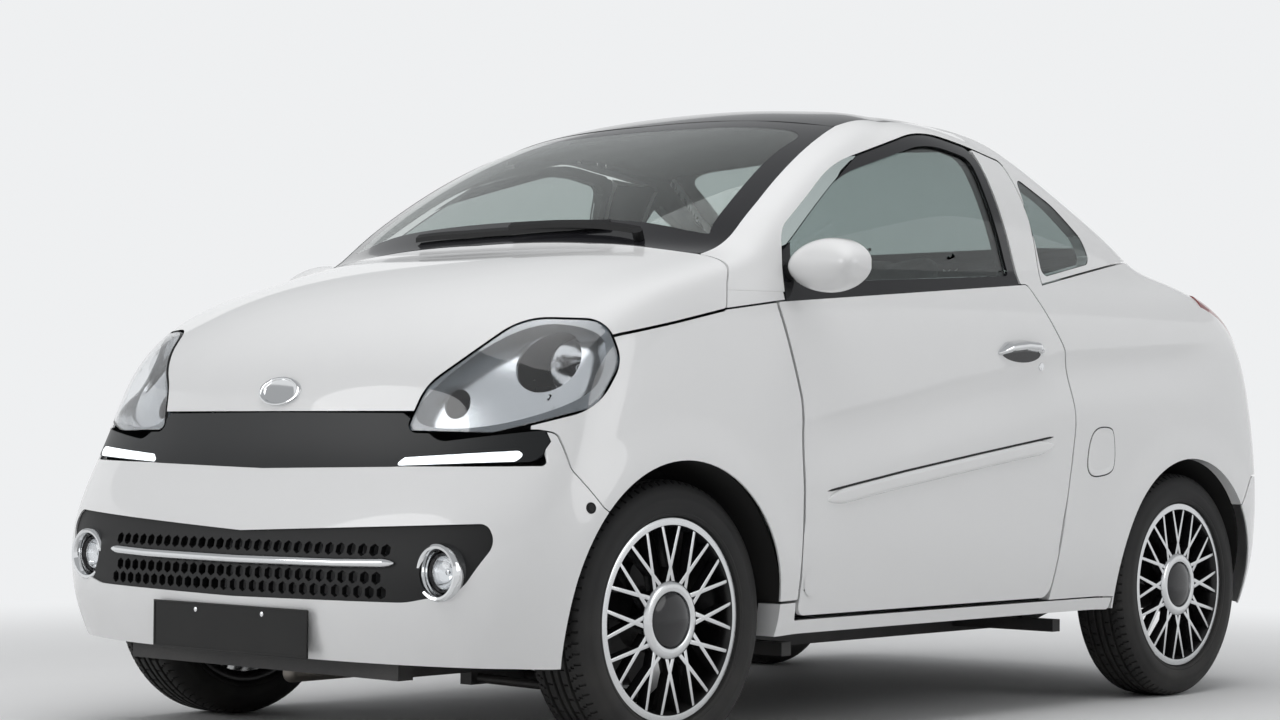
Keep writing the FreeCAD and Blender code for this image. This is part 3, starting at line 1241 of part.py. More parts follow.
def steering_wheel():
    """A rim, three spokes and a boss on a short shaft."""
    centre = COLUMN_TOP + COLUMN_AXIS * 62
    corners = [(178 + 14 * math.cos(a), 14 * math.sin(a))
               for a in (math.radians(45 * k + 22.5) for k in range(8))]
    wire = Part.makePolygon([V(a, 0, b) for a, b in corners + corners[:1]])
    rim_ring = Part.Face(wire).revolve(V(0, 0, 0), V(0, 0, 1), 360)
    rim_ring.Placement = FreeCAD.Placement(centre, FreeCAD.Rotation(V(0, 0, 1), COLUMN_AXIS))
    boss = cylinder(centre - COLUMN_AXIS * 34, centre + COLUMN_AXIS * 8, 62)
    shaft = cylinder(COLUMN_TOP - COLUMN_AXIS * 50, centre, COLUMN_PIN)
    across = V(1, 0, 0)
    down = COLUMN_AXIS.cross(across)
    pieces = [rim_ring, boss, shaft]
    for angle in (0, 180, 270):
        a = math.radians(angle)
        way = across * math.cos(a) + down * math.sin(a)
        pieces.append(cylinder(centre + way * 40 - COLUMN_AXIS * 10, centre + way * 178, 13))
    return fuse(pieces)


def seat():
    """One seat: base, cushion with raised sides, raked back and headrest."""
    base = box(SEAT_X - 180, SEAT_X + 180, SEAT_Y - 200, SEAT_Y + 220,
               RAIL_Z + RAIL_HEIGHT + FLOOR_SHEET, SEAT_Z)
    half = SEAT_WIDTH / 2
    cushion = prism("front", [(SEAT_X - half, SEAT_Z + 150, 30), (SEAT_X - half, SEAT_Z, 20),
                              (SEAT_X + half, SEAT_Z, 20), (SEAT_X + half, SEAT_Z + 150, 30),
                              (SEAT_X + half - 70, SEAT_Z + 150, 30),
                              (SEAT_X + half - 100, SEAT_Z + 112, 30),
                              (SEAT_X - half + 100, SEAT_Z + 112, 30),
                              (SEAT_X - half + 70, SEAT_Z + 150, 30)],
                    -SEAT_Y - 250, -SEAT_Y + 270)
    back = box(SEAT_X - half, SEAT_X + half, 0, 110, 0, 560)
    back = back.makeFillet(36, [e for e in back.Edges if e.Length > 400])
    back.rotate(V(SEAT_X, 0, 0), V(1, 0, 0), -16)
    back.translate(V(0, SEAT_Y + 150, SEAT_Z + 80))
    head = box(SEAT_X - 130, SEAT_X + 130, 0, 90, 0, 190)
    head = head.makeFillet(40, [e for e in head.Edges if e.Length > 180])
    head.rotate(V(SEAT_X, 0, 0), V(1, 0, 0), -12)
    head.translate(V(0, SEAT_Y + 330, SEAT_Z + 600))
    return fuse([base, cushion, back, head])


def seats():
    return both_sides(seat())


def parcel_shelf():
    """The cabin's rear wall with the shelf under the rear window."""
    top = RAIL_Z + RAIL_HEIGHT
    profile = [(640, top), (646, top), (560, 860, 30), (560, 1000, 20), (822, 1065),
               (820, 1073), (552, 1008, 24), (552, 858, 30)]
    shelf = prism("side", profile, -SHELF_HALF, SHELF_HALF)
    y, z = BOOT_HINGE
    brackets = []
    for side in (1, -1):
        x0, x1 = sorted((side * 464, side * 472))
        brackets.append(prism("side", [(780, 1056), (810, 1062), (y + 12, z - 12, 8),
                                       (y + 12, z + 12, 8), (810, 1070), (780, 1062)], x0, x1))
        brackets.append(cylinder(V(side * 440, y, z), V(side * 468, y, z), 6))
    return fuse([shelf] + brackets)


def boot_tub():
    """The boot's floor with its side walls and the ledges over the wheelhouses."""
    z0, z1, half = KICK_Z + RAIL_HEIGHT + SEAT_CLEARANCE, 650, 338
    tub = box(-half, half, 652, 1440, z0, z1).cut(box(-half + 4, half - 4, 656, 1436, z0 + 4, z1))
    ledge = box(half - 4, 800, 652, 1330, z1 - 4, z1)
    ledge = largest(ledge.cut(quarter_skin(-60, QUARTER_WALL + SEAT_CLEARANCE)))
    return fuse([tub, ledge, mirrored(ledge)])


def wiper():
    """One long arm from its spindle at the glass's foot, and its blade along the glass."""
    x0, y0 = WIPER_PIVOT
    x1, y1 = WIPER_BLADE[len(WIPER_BLADE) // 2]
    spindle = cylinder(glass_point(x0, y0, 0.2), glass_point(x0, y0, 22), 12)
    edge = [(x, y - 6) for x, y in WIPER_BLADE] + [(x, y + 6) for x, y in WIPER_BLADE[::-1]]
    blade = cap_slab(345, -800, -715, -12, -3, 15, 5).common(prism("top", edge, 900, 1300))
    way = V(x1 - x0, y1 - y0, 0).normalize()
    side = V(-way.y, way.x, 0) * 5
    strip = [(x0 + side.x, y0 + side.y), (x1 + side.x, y1 + side.y), (x1 - side.x, y1 - side.y),
             (x0 - side.x, y0 - side.y)]
    arm = cap_slab(470, -800, -715, -20, -11, 15, 5).common(prism("top", strip, 900, 1300))
    return fuse([spindle, largest(arm), largest(blade)])


def glass_point(x, y, rise):
    """A point this far above the windscreen's outer face."""
    return cap_point(x, y, -rise)


def makers():
    return {
        "front_bumper": front_bumper, "nose_band": nose_band, "daylight_lamps": daylight_lamps,
        "headlamp_lenses": headlamp_lens, "headlamp_units": headlamp_housing,
        "fog_lamps": fog_lamps, "grille": grille, "grille_bar": grille_bar,
        "number_plates": number_plates, "bonnet": bonnet, "front_wings": front_wing,
        "roof_arches": roof_arch, "roof_panel": roof_panel, "windscreen": windscreen,
        "rear_window": rear_window, "quarter_glass": quarter_glass,
        "rear_quarters": rear_quarter, "boot_lid": boot_lid, "rear_bumper": rear_bumper,
        "tail_lamps": tail_lamps, "sills": sills, "chassis_frame": chassis_frame,
        "floor_pan": floor_pan, "bulkhead": bulkhead, "door_hinges": door_hinges,
        "wheelhouses": wheelhouses,
        "engine_block": engine_block, "front_suspension": front_suspension,
        "front_struts": struts, "track_rods": track_rods, "rear_axle": rear_axle,
        "exhaust": exhaust, "dashboard": dashboard, "steering_wheel": steering_wheel,
        "parcel_shelf": parcel_shelf, "boot_tub": boot_tub, "wiper": wiper, "seats": seats,
        "door": door_shell, "door_frame": door_frame, "door_glass": door_glass, "door_mirror": mirror,
        "door_handle": door_handle, "knuckle": knuckle, "tyre_front": tyre_front,
        "tyre_rear": tyre_rear, "rim_front": rim_front, "rim_rear": rim_rear,
    }


SIDED = ("door", "door_frame", "door_glass", "door_mirror", "door_handle", "knuckle",
         "tyre_front", "tyre_rear", "rim_front", "rim_rear")


def main():
    os.makedirs("parts", exist_ok=True)
    for name, make in makers().items():
        piece = make()
        if name in SIDED:
            write(name + "_left", piece)
            write(name + "_right", mirrored(piece))
        else:
            write(name, piece)


if __name__ == "__main__":
    main()
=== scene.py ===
"""Finishes the microcar: smooth panels, glass, lamps, wheels, cabin, finishes and studio."""

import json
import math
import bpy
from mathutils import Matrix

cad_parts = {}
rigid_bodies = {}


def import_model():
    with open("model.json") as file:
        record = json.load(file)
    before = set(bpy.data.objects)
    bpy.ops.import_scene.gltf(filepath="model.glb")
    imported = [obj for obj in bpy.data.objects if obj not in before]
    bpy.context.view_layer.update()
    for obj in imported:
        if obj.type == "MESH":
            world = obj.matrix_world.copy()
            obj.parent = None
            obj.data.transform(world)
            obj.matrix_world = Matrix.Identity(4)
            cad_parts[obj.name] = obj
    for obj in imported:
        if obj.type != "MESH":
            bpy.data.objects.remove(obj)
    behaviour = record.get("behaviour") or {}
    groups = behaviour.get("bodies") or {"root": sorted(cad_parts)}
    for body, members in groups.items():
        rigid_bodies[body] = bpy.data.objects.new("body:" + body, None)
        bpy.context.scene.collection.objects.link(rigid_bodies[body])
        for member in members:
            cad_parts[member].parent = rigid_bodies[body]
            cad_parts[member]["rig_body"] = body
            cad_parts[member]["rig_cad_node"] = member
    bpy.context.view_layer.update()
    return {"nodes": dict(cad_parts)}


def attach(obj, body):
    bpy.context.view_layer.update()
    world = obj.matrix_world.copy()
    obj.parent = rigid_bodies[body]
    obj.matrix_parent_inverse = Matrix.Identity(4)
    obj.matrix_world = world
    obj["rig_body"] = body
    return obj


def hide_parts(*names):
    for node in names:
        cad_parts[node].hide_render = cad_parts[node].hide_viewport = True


bl_info = {
    "name": "Microcar finish",
    "version": (1, 0, 0),
    "blender": (4, 5, 0),
    "location": "View3D > Sidebar > Microcar",
    "description": "Builds the panels, lamps, wheels, cabin and finishes of a two-seat microcar",
    "category": "Object",
}

import bmesh
import bpy
import numpy as np
from mathutils import Matrix, Vector
from mathutils.bvhtree import BVHTree

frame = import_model()
NODES = frame["nodes"]
MM = 0.001
SIDES = (("left", 1), ("right", -1))

# The rings that the body's skin runs through, as in the part's source, in millimetres
RINGS = """
name     zf   zs0  zs1  zr    yf   sagf wcf    ys0  w0  wm  w1   ys1  wcr sagr yr
bottom   195  190  205  210  -1500  80 600  -1120 724 706 716  1238  585  72 1478
skirt    250  260  280  280  -1514  74 622  -1130 748 730 740  1242  605  66 1498
bumper   330  360  385  370  -1518  68 640  -1140 762 742 754  1255  620  62 1516
waist    430  470  490  480  -1506  66 650  -1140 768 750 760  1262  625  60 1516
upper    520  570  600  590  -1466  64 640  -1130 766 752 760  1262  622  60 1503
band     610  660  705  700  -1420  64 625  -1110 758 752 758  1255  612  62 1488
lip      700  750  810  810  -1400  70 600  -1080 746 748 750  1245  600  64 1474
nose     770  830  895  910  -1385  80 580  -1040 734 740 738  1225  582  70 1456
brow     870  900  960  1000 -1325  95 560   -980 722 730 722  1185  556  78 1412
bonnet   975  960  1010 1072 -1175 110 550   -880 708 714 700  1100  540  88 1312
cowl     1045 1000 1040 1115 -945  140 570   -720 696 700 680   955  540 100 1130
base     1062 1040 1075 1124 -825  130 585   -600 690 688 666   860  540 105  1010
glass    1130 1110 1140 1165 -740  112 592   -510 678 680 650   800  535 110  940
pillar   1275 1240 1252 1285 -530  105 560   -320 640 652 610   560  505 105  755
header   1380 1352 1360 1385 -325  105 500   -110 590 606 565   350  450  90  570
rail     1428 1404 1410 1425 -170  100 410     10 528 544 510   230  390  75  440
roof     1448 1437 1437 1444  -60   80 240     60 335 350 325   160  240  50  310
spine    1453 1450 1450 1450   20    0   0     60   0   0   0   200    0   0  240
"""
FLANK_POLES = 9
POLES = 19
DEGREE = 3
SKIN_ROWS = 280
SKIN_COLUMNS = 460

# Relief pressed into the flanks: the side crease and the swelling round each wheel arch
CREASE = [(-692, 664), (-478, 708), (-225, 749), (-34, 786), (167, 814), (421, 863), (1206, 911)]
CREASE_DEPTH = 9.0
CREASE_HEIGHT = 150.0
FRONT_AXLE_Y, REAR_AXLE_Y, AXLE_Z = -975.0, 1001.0, 283.5
ARCH_SWELL = 7.0
ARCH_EDGE, ARCH_REACH = 322.0, 95.0
PANEL_EDGE = 20.0
CREASE_EDGE = 7.0
DEEPEST = 75.0

GLASS_BASE = [(0, -806), (330, -793), (606, -752)]
ARCH_INNER = [(612, -660), (600, -560), (566, -380), (532, -200)]
HEADER_FRONT = [(300, -244), (0, -262)]
HEADER_REAR = [(0, 486), (300, 470), (512, 420)]
ARCH_REAR = [(560, 600), (590, 760), (596, 880)]
REAR_BASE = [(330, 968), (0, 992)]
HEADLAMP = [(-712, 660), (-672, 752), (-480, 890), (-316, 884), (-286, 800), (-336, 708),
            (-540, 656)]


def smoothstep(t):
    t = np.clip(t, 0.0, 1.0)
    return t * t * (3 - 2 * t)


def blend(a, b, t):
    return a + (b - a) * t


def skin_poles():
    """The skin's control points, ring by ring, for the car's left half."""
    lines = [line.split() for line in RINGS.strip().splitlines()]
    keys = lines[0][1:]
    grid = []
    for line in lines[1:]:
        r = dict(zip(keys, map(float, line[1:])))
        if line[0] == "spine":
            grid.append([(0, blend(r["yf"], r["yr"], i / (POLES - 1)), r["zs0"])
                         for i in range(POLES)])
            continue
        nose_y, tail_y = r["yf"] + r["sagf"], r["yr"] - r["sagr"]
        row = [(0, r["yf"], r["zf"]), (0.35 * r["wcf"], r["yf"], r["zf"]),
               (0.72 * r["wcf"], r["yf"] + 0.35 * r["sagf"], r["zf"]),
               (r["wcf"], nose_y, blend(r["zf"], r["zs0"], 0.25)),
               (blend(r["w0"], r["wcf"], 0.12), blend(nose_y, r["ys0"], 0.25),
                blend(r["zf"], r["zs0"], 0.6))]
        for k in range(FLANK_POLES):
            t = k / (FLANK_POLES - 1)
            half = (r["w0"] * (1 - t) * (1 - 2 * t) + r["wm"] * 4 * t * (1 - t)
                    + r["w1"] * t * (2 * t - 1))
            row.append((half, blend(r["ys0"], r["ys1"], t), blend(r["zs0"], r["zs1"], t)))
        row += [(blend(r["w1"], r["wcr"], 0.12), blend(tail_y, r["ys1"], 0.25),
                 blend(r["zr"], r["zs1"], 0.6)),
                (r["wcr"], tail_y, blend(r["zr"], r["zs1"], 0.25)),
                (0.72 * r["wcr"], r["yr"] - 0.35 * r["sagr"], r["zr"]),
                (0.35 * r["wcr"], r["yr"], r["zr"]), (0, r["yr"], r["zr"])]
        grid.append(row)
    return np.array(grid, float)


def spline_weights(count, samples):
    """How much each control point counts at even steps along a clamped cubic spline."""
    spans = count - DEGREE
    knots = np.concatenate(([0.0] * DEGREE, np.arange(spans + 1) / spans, [1.0] * DEGREE))
    t = np.linspace(0, 1 - 1e-9, samples)
    weights = [((knots[i] <= t) & (t < knots[i + 1])).astype(float)
               for i in range(len(knots) - 1)]
    for degree in range(1, DEGREE + 1):
        for i in range(len(knots) - 1 - degree):
            rise, fall = knots[i + degree] - knots[i], knots[i + degree + 1] - knots[i + 1]
            left = (t - knots[i]) / rise * weights[i] if rise > 0 else 0
            right = (knots[i + degree + 1] - t) / fall * weights[i + 1] if fall > 0 else 0
            weights[i] = left + right
    return np.stack(weights[:count], axis=1)


def relief(points):
    """How far the real panels stand out of the plain skin here, in millimetres."""
    x, y, z = np.abs(points[..., 0]), points[..., 1], points[..., 2]
    flank = smoothstep((x - 560) / 90)
    line = np.interp(y, *zip(*CREASE))
    t = np.clip((line - z) / CREASE_HEIGHT, 0, 1)
    fade = smoothstep((y - CREASE[0][0]) / 260) * smoothstep((CREASE[-1][0] - y) / 260)
    depth = -CREASE_DEPTH * 6.75 * t * (1 - t) ** 2 * fade
    for axle in (FRONT_AXLE_Y, REAR_AXLE_Y):
        away = np.hypot(y - axle, z - AXLE_Z)
        depth = depth + ARCH_SWELL * (1 - smoothstep((away - ARCH_EDGE) / ARCH_REACH))
    return depth * flank


class Skin:
    """The body's outer surface, plain and with its relief, ready to be asked for places."""

    def __init__(self):
        poles = skin_poles()
        rows = spline_weights(len(poles), SKIN_ROWS)
        columns = spline_weights(POLES, SKIN_COLUMNS)
        self.plain = np.einsum("ui,vj,ijk->uvk", rows, columns, poles)
        self.plain_normal = self.normals(self.plain)
        self.full = self.plain + self.plain_normal * relief(self.plain)[..., None]
        self.full_normal = self.normals(self.full)
        index = np.arange(SKIN_ROWS * SKIN_COLUMNS).reshape(SKIN_ROWS, SKIN_COLUMNS)
        a, b = index[:-1, :-1].ravel(), index[1:, :-1].ravel()
        c, d = index[1:, 1:].ravel(), index[:-1, 1:].ravel()
        self.triangles = np.concatenate((np.stack((a, b, c), 1), np.stack((a, c, d), 1)))
        self.corners = self.plain.reshape(-1, 3)
        self.tree = BVHTree.FromPolygons(self.corners.tolist(), self.triangles.tolist())

    @staticmethod
    def normals(grid):
        across = np.gradient(grid, axis=0)
        along = np.gradient(grid, axis=1)
        normal = np.cross(across, along)
        normal[:, 0, 0] = normal[:, -1, 0] = normal[-1, :, 0] = 0
        normal /= np.maximum(np.linalg.norm(normal, axis=2, keepdims=True), 1e-12)
        flank = grid * (1, 0.15, 1) - (0, 0, 500)
        return normal * np.where((normal * flank).sum(2, keepdims=True) < 0, -1, 1)

    def read(self, points):
        """For points in millimetres: place on the full skin, both normals and the depth."""
        side = np.where(points[:, 0] < 0, -1.0, 1.0)
        mirrored = points.copy()
        mirrored[:, 0] = np.abs(mirrored[:, 0])
        hits = [self.tree.find_nearest(p)[::2] for p in mirrored.tolist()]
        place = np.array([h[0] for h in hits])
        corner = self.triangles[[h[1] for h in hits]]
        a, b, c = (self.corners[corner[:, k]] for k in range(3))
        ab, ac, ap = b - a, c - a, place - a
        dot = lambda p, q: (p * q).sum(1)
        scale = dot(ab, ab) * dot(ac, ac) - dot(ab, ac) ** 2
        v = (dot(ac, ac) * dot(ap, ab) - dot(ab, ac) * dot(ap, ac)) / scale
        w = (dot(ab, ab) * dot(ap, ac) - dot(ab, ac) * dot(ap, ab)) / scale
        share = np.stack((1 - v - w, v, w), 1)
        mix = lambda values: (values.reshape(-1, 3)[corner] * share[..., None]).sum(1)
        plain_normal, full, normal = (mix(values) for values in
                                      (self.plain_normal, self.full, self.full_normal))
        for n in (plain_normal, normal):
            n /= np.linalg.norm(n, axis=1, keepdims=True)
        depth = ((place - mirrored) * plain_normal).sum(1)
        for values in (full, normal):
            values[:, 0] *= side
        return full, normal, depth

    def across(self, view, points):
        """Places on the plain skin that a line of sight meets, for points of one view."""
        first, second, along = VIEWS[view]
        found = []
        for a, b in points:
            start = first * a + second * b
            side = -1 if start.x + along.x * 1200 < 0 else 1
            start, way = start + along * 3000, -along
            start.x, way.x = start.x * side, way.x * side
            place = self.tree.ray_cast(start, way)[0]
            if place is None:
                place = self.tree.find_nearest(start + way * 1800)[0]
            found.append((place.x * side, place.y, place.z))
        return np.array(found)

    def slab(self, name, rows, columns, outer, inner, count=(24, 40)):
        """A closed slab that follows the plain skin between two depths."""
        grids = []
        for depth in (outer, inner):
            u = np.linspace(*rows, count[0]) * (SKIN_ROWS - 1)
            v = np.linspace(*columns, count[1])
            sign = np.where(v < 0, -1.0, 1.0)
            v = np.abs(v) * (SKIN_COLUMNS - 1)
            i, j = np.meshgrid(np.clip(u, 0, SKIN_ROWS - 1.001), np.clip(v, 0, SKIN_COLUMNS - 1.001),
                               indexing="ij")
            i0, j0 = i.astype(int), j.astype(int)
            fi, fj = (i - i0)[..., None], (j - j0)[..., None]

            def at(values):
                return ((values[i0, j0] * (1 - fi) + values[i0 + 1, j0] * fi) * (1 - fj)
                        + (values[i0, j0 + 1] * (1 - fi) + values[i0 + 1, j0 + 1] * fi) * fj)
            points = at(self.plain) - at(self.plain_normal) * depth
            points[..., 0] *= sign[None, :]
            grids.append(points)
        return shell(name, *grids)


def shell(name, outside, inside):
    """A closed mesh between two grids of points in millimetres."""
    rows, columns = outside.shape[:2]
    index = np.arange(rows * columns).reshape(rows, columns)
    faces = []
    for i in range(rows - 1):
        for j in range(columns - 1):
            a, b, c, d = index[i, j], index[i, j + 1], index[i + 1, j + 1], index[i + 1, j]
            faces.append((a, b, c, d))
            faces.append(tuple(k + rows * columns for k in (d, c, b, a)))
    rim = list(index[0]) + list(index[1:, -1]) + list(index[-1, -2::-1]) + list(index[-2:0:-1, 0])
    for a, b in zip(rim, rim[1:] + rim[:1]):
        faces.append((b, a, a + rows * columns, b + rows * columns))
    vertices = np.concatenate((outside.reshape(-1, 3), inside.reshape(-1, 3))) * MM
    obj = new_object(name, vertices, (), faces)
    activate(obj)
    bpy.ops.object.mode_set(mode="EDIT")
    bpy.ops.mesh.select_all(action="SELECT")
    bpy.ops.mesh.normals_make_consistent(inside=False)
    bpy.ops.object.mode_set(mode="OBJECT")
    return obj


def ring(name):
    """The skin's share of height beside a named ring."""
    names = [line.split()[0] for line in RINGS.strip().splitlines()[1:]]
    return min(max((names.index(name) - 1) / (len(names) - DEGREE), 0.0), 1.0)


def station(index):
    return min(max((index - 1) / (POLES - DEGREE), 0.0), 1.0)


# Helpers for modelling
def deselect():
    for obj in bpy.data.objects:
        obj.select_set(False)


def activate(obj):
    deselect()
    obj.select_set(True)
    bpy.context.view_layer.objects.active = obj
    return obj


def apply_modifiers(obj):
    activate(obj)
    for modifier in list(obj.modifiers):
        bpy.ops.object.modifier_apply(modifier=modifier.name)
    return obj


def settle(obj):
    activate(obj)
    bpy.ops.object.transform_apply(location=True, rotation=True, scale=True)
    return obj


def new_object(name, vertices, edges=(), faces=()):
    mesh = bpy.data.meshes.new(name)
    mesh.from_pydata([tuple(v) for v in vertices], [tuple(e) for e in edges],
                     [tuple(f) for f in faces])
    obj = bpy.data.objects.new(name, mesh)
    bpy.context.scene.collection.objects.link(obj)
    return obj


def copy_of(obj, name):
    twin = obj.copy()
    twin.data = obj.data.copy()
    twin.name = twin.data.name = name
    twin.parent = None
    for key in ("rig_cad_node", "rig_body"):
        if key in twin:
            del twin[key]
    bpy.context.scene.collection.objects.link(twin)
    return twin


def node_copy(node, name):
    """A merged copy of a CAD node's mesh, whose own mesh is left alone."""
    twin = copy_of(NODES[node], name)
    twin.hide_render = twin.hide_viewport = False
    twin.data.materials.clear()
    twin.data.attributes.remove(twin.data.attributes["custom_normal"]) \
        if "custom_normal" in twin.data.attributes else None
    bm = bmesh.new()
    bm.from_mesh(twin.data)
    bmesh.ops.remove_doubles(bm, verts=bm.verts, dist=2e-5)
    bm.to_mesh(twin.data)
    bm.free()
    return twin


def joined(name, objects):
    activate(objects[0])
    for obj in objects[1:]:
        obj.select_set(True)
    if len(objects) > 1:
        bpy.ops.object.join()
    objects[0].name = objects[0].data.name = name
    return objects[0]


def mirrored(obj, name):
    """The right-hand twin of a left-hand piece."""
    twin = copy_of(obj, name)
    twin.data.transform(Matrix.Scale(-1, 4, (1, 0, 0)))
    twin.data.flip_normals()
    return twin


def dress(obj, material, body, replaced=(), smooth=None):
    """Gives a finished piece its material and its body, and hides the nodes it stands for."""
    if smooth is not None:
        activate(obj)
        bpy.ops.object.shade_smooth_by_angle(angle=math.radians(smooth))
    if material is not None:
        obj.data.materials.clear()
        obj.data.materials.append(material)
    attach(obj, body)
    if replaced:
        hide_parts(*replaced)
    return obj


def body_of(node):
    return NODES[node]["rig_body"]


def spun(name, profile, steps, axis, centre=(0, 0, 0)):
    """Turns a profile of (radius, height) points about an axis, closed all round."""
    axis = Vector(axis).normalized()
    out = axis.orthogonal().normalized()
    centre = Vector(centre)
    points = [centre + out * r * MM + axis * h * MM for r, h in profile]
    obj = new_object(name, points, [(i, i + 1) for i in range(len(points) - 1)])
    activate(obj)
    bpy.ops.object.mode_set(mode="EDIT")
    bpy.ops.mesh.select_all(action="SELECT")
    bpy.ops.mesh.spin(steps=steps, angle=2 * math.pi, center=centre, axis=axis)
    bpy.ops.mesh.select_all(action="SELECT")
    bpy.ops.mesh.remove_doubles(threshold=1e-5)
    bpy.ops.mesh.normals_make_consistent(inside=False)
    bpy.ops.object.mode_set(mode="OBJECT")
    return obj


def boolean(obj, other, operation):
    modifier = obj.modifiers.new("cut", "BOOLEAN")
    modifier.operation = operation
    modifier.object = other
    modifier.solver = "EXACT"
    return apply_modifiers(obj)


def remove(*objects):
    for obj in objects:
        bpy.data.objects.remove(obj)


def chaikin(points, rounds=3):
    """Rounds a closed outline by cutting its corners again and again."""
    points = np.array(points, float)
    for _ in range(rounds):
        following = np.roll(points, -1, axis=0)
        points = np.stack((0.75 * points + 0.25 * following,
                           0.25 * points + 0.75 * following), 1).reshape(-1, 2)
    return points


def inset(points, distance):
    """A closed outline moved inwards; distance may differ from corner to corner."""
    points = np.array(points, float)
    before, after = np.roll(points, 1, axis=0), np.roll(points, -1, axis=0)
    turn = np.sign(((points[:, 0] - before[:, 0]) * (after[:, 1] - points[:, 1])
                    - (points[:, 1] - before[:, 1]) * (after[:, 0] - points[:, 0])).sum())
    run = after - before
    normal = np.stack((-run[:, 1], run[:, 0]), 1) * turn
    normal /= np.linalg.norm(normal, axis=1, keepdims=True)
    distance = np.broadcast_to(np.asarray(distance, float), len(points))
    return points + normal * distance[:, None]


VIEWS = {
    "top": (Vector((1, 0, 0)), Vector((0, 1, 0)), Vector((0, 0, 1))),
    "front": (Vector((1, 0, 0)), Vector((0, 0, 1)), Vector((0, -1, 0))),
    "side": (Vector((0, 1, 0)), Vector((0, 0, 1)), Vector((1, 0, 0))),
    "corner": (Vector((0.70710678, 0.70710678, 0)), Vector((0, 0, 1)),
               Vector((0.70710678, -0.70710678, 0))),
}


def prism(name, view, points, low, high):
    """An outline drawn in one view and pushed along that view's line of sight."""
    first, second, along = VIEWS[view]
    flat = [first * (a * MM) + second * (b * MM) for a, b in points]
    count = len(flat)
    vertices = [p + along * low * MM for p in flat] + [p + along * high * MM for p in flat]
    faces = [list(range(count))[::-1], list(range(count, 2 * count))]
    faces += [(i, (i + 1) % count, count + (i + 1) % count, count + i) for i in range(count)]
    obj = new_object(name, vertices, (), faces)
    activate(obj)
    bpy.ops.object.mode_set(mode="EDIT")
    bpy.ops.mesh.select_all(action="SELECT")
    bpy.ops.mesh.normals_make_consistent(inside=False)
    bpy.ops.object.mode_set(mode="OBJECT")
    return obj


def halves(points):
    return list(points) + [(-a, b) for a, b in reversed(points) if a != 0]


def near_crease(y, z):
    if not CREASE[0][0] < y < CREASE[-1][0]:
        return False
    return abs(z - np.interp(y, *zip(*CREASE))) < 22


def refine(bm, longest):
    """Splits long edges until the mesh can follow the skin."""
    for _ in range(9):
        long = []
        for edge in bm.edges:
            a, b = (v.co / MM for v in edge.verts)
            middle = (a + b) / 2
            limit = longest
            if abs(middle.x) > 640 and near_crease(middle.y, middle.z):
                limit = min(limit, CREASE_EDGE)
            if (a - b).length > limit:
                long.append(edge)
        if not long:
            break
        bmesh.ops.subdivide_edges(bm, edges=long, cuts=1)
        bmesh.ops.triangulate(bm, faces=[f for f in bm.faces if len(f.verts) > 3])


def fit_to_skin(obj, longest=PANEL_EDGE, flush=False):
    """Moves a panel's mesh onto the smooth skin, at its own depth, and shades it so."""
    bm = bmesh.new()
    bm.from_mesh(obj.data)
    bmesh.ops.triangulate(bm, faces=bm.faces)
    layer = bm.verts.layers.float.new("depth")
    bm.verts.ensure_lookup_table()
    points = np.array([v.co for v in bm.verts]) / MM
    depth = SKIN.read(points)[2]
    if flush:
        depth[depth < -0.3] = 2.0
    for vertex, value in zip(bm.verts, depth):
        vertex[layer] = value
    refine(bm, longest)
    points = np.array([v.co for v in bm.verts]) / MM
    depth = np.array([v[layer] for v in bm.verts])
    place, normal, _ = SKIN.read(points)
    hold = smoothstep((np.abs(depth) - DEEPEST) / 30)[:, None]
    points = (place - normal * depth[:, None]) * (1 - hold) + points * hold
    for vertex, co in zip(bm.verts, points * MM):
        vertex.co = co
    bm.verts.layers.float.remove(layer)
    bm.to_mesh(obj.data)
    bm.free()
    activate(obj)
    bpy.ops.object.shade_smooth_by_angle(angle=math.radians(30))
    mesh = obj.data
    loops = np.empty(len(mesh.loops), int)
    mesh.loops.foreach_get("vertex_index", loops)
    corner = np.empty(len(mesh.loops) * 3)
    mesh.corner_normals.foreach_get("vector", corner)
    corner = corner.reshape(-1, 3)
    faces = np.empty(len(mesh.polygons) * 3)
    mesh.polygons.foreach_get("normal", faces)
    face = np.repeat(faces.reshape(-1, 3), 3, axis=0)
    wanted = normal[loops]
    lean = (face * wanted).sum(1)
    skinny = (np.abs(lean) > 0.9) & (np.abs(depth[loops]) < DEEPEST)
    corner[skinny] = wanted[skinny] * np.sign(lean[skinny])[:, None]
    mesh.normals_split_custom_set(corner.tolist())
    starts = np.empty(len(mesh.polygons), int)
    mesh.polygons.foreach_get("loop_start", starts)
    inward = mesh.attributes.new("inward", "BOOLEAN", "FACE")
    inward.data.foreach_set("value", lean[starts] < -0.3)
    return obj


def line_inside(obj, finish):
    """Gives the faces that look into the car a finish of their own."""
    mesh = obj.data
    inward = np.empty(len(mesh.polygons), bool)
    mesh.attributes["inward"].data.foreach_get("value", inward)
    mesh.materials.append(finish)
    mesh.polygons.foreach_set("material_index", inward.astype(int))
    mesh.update()


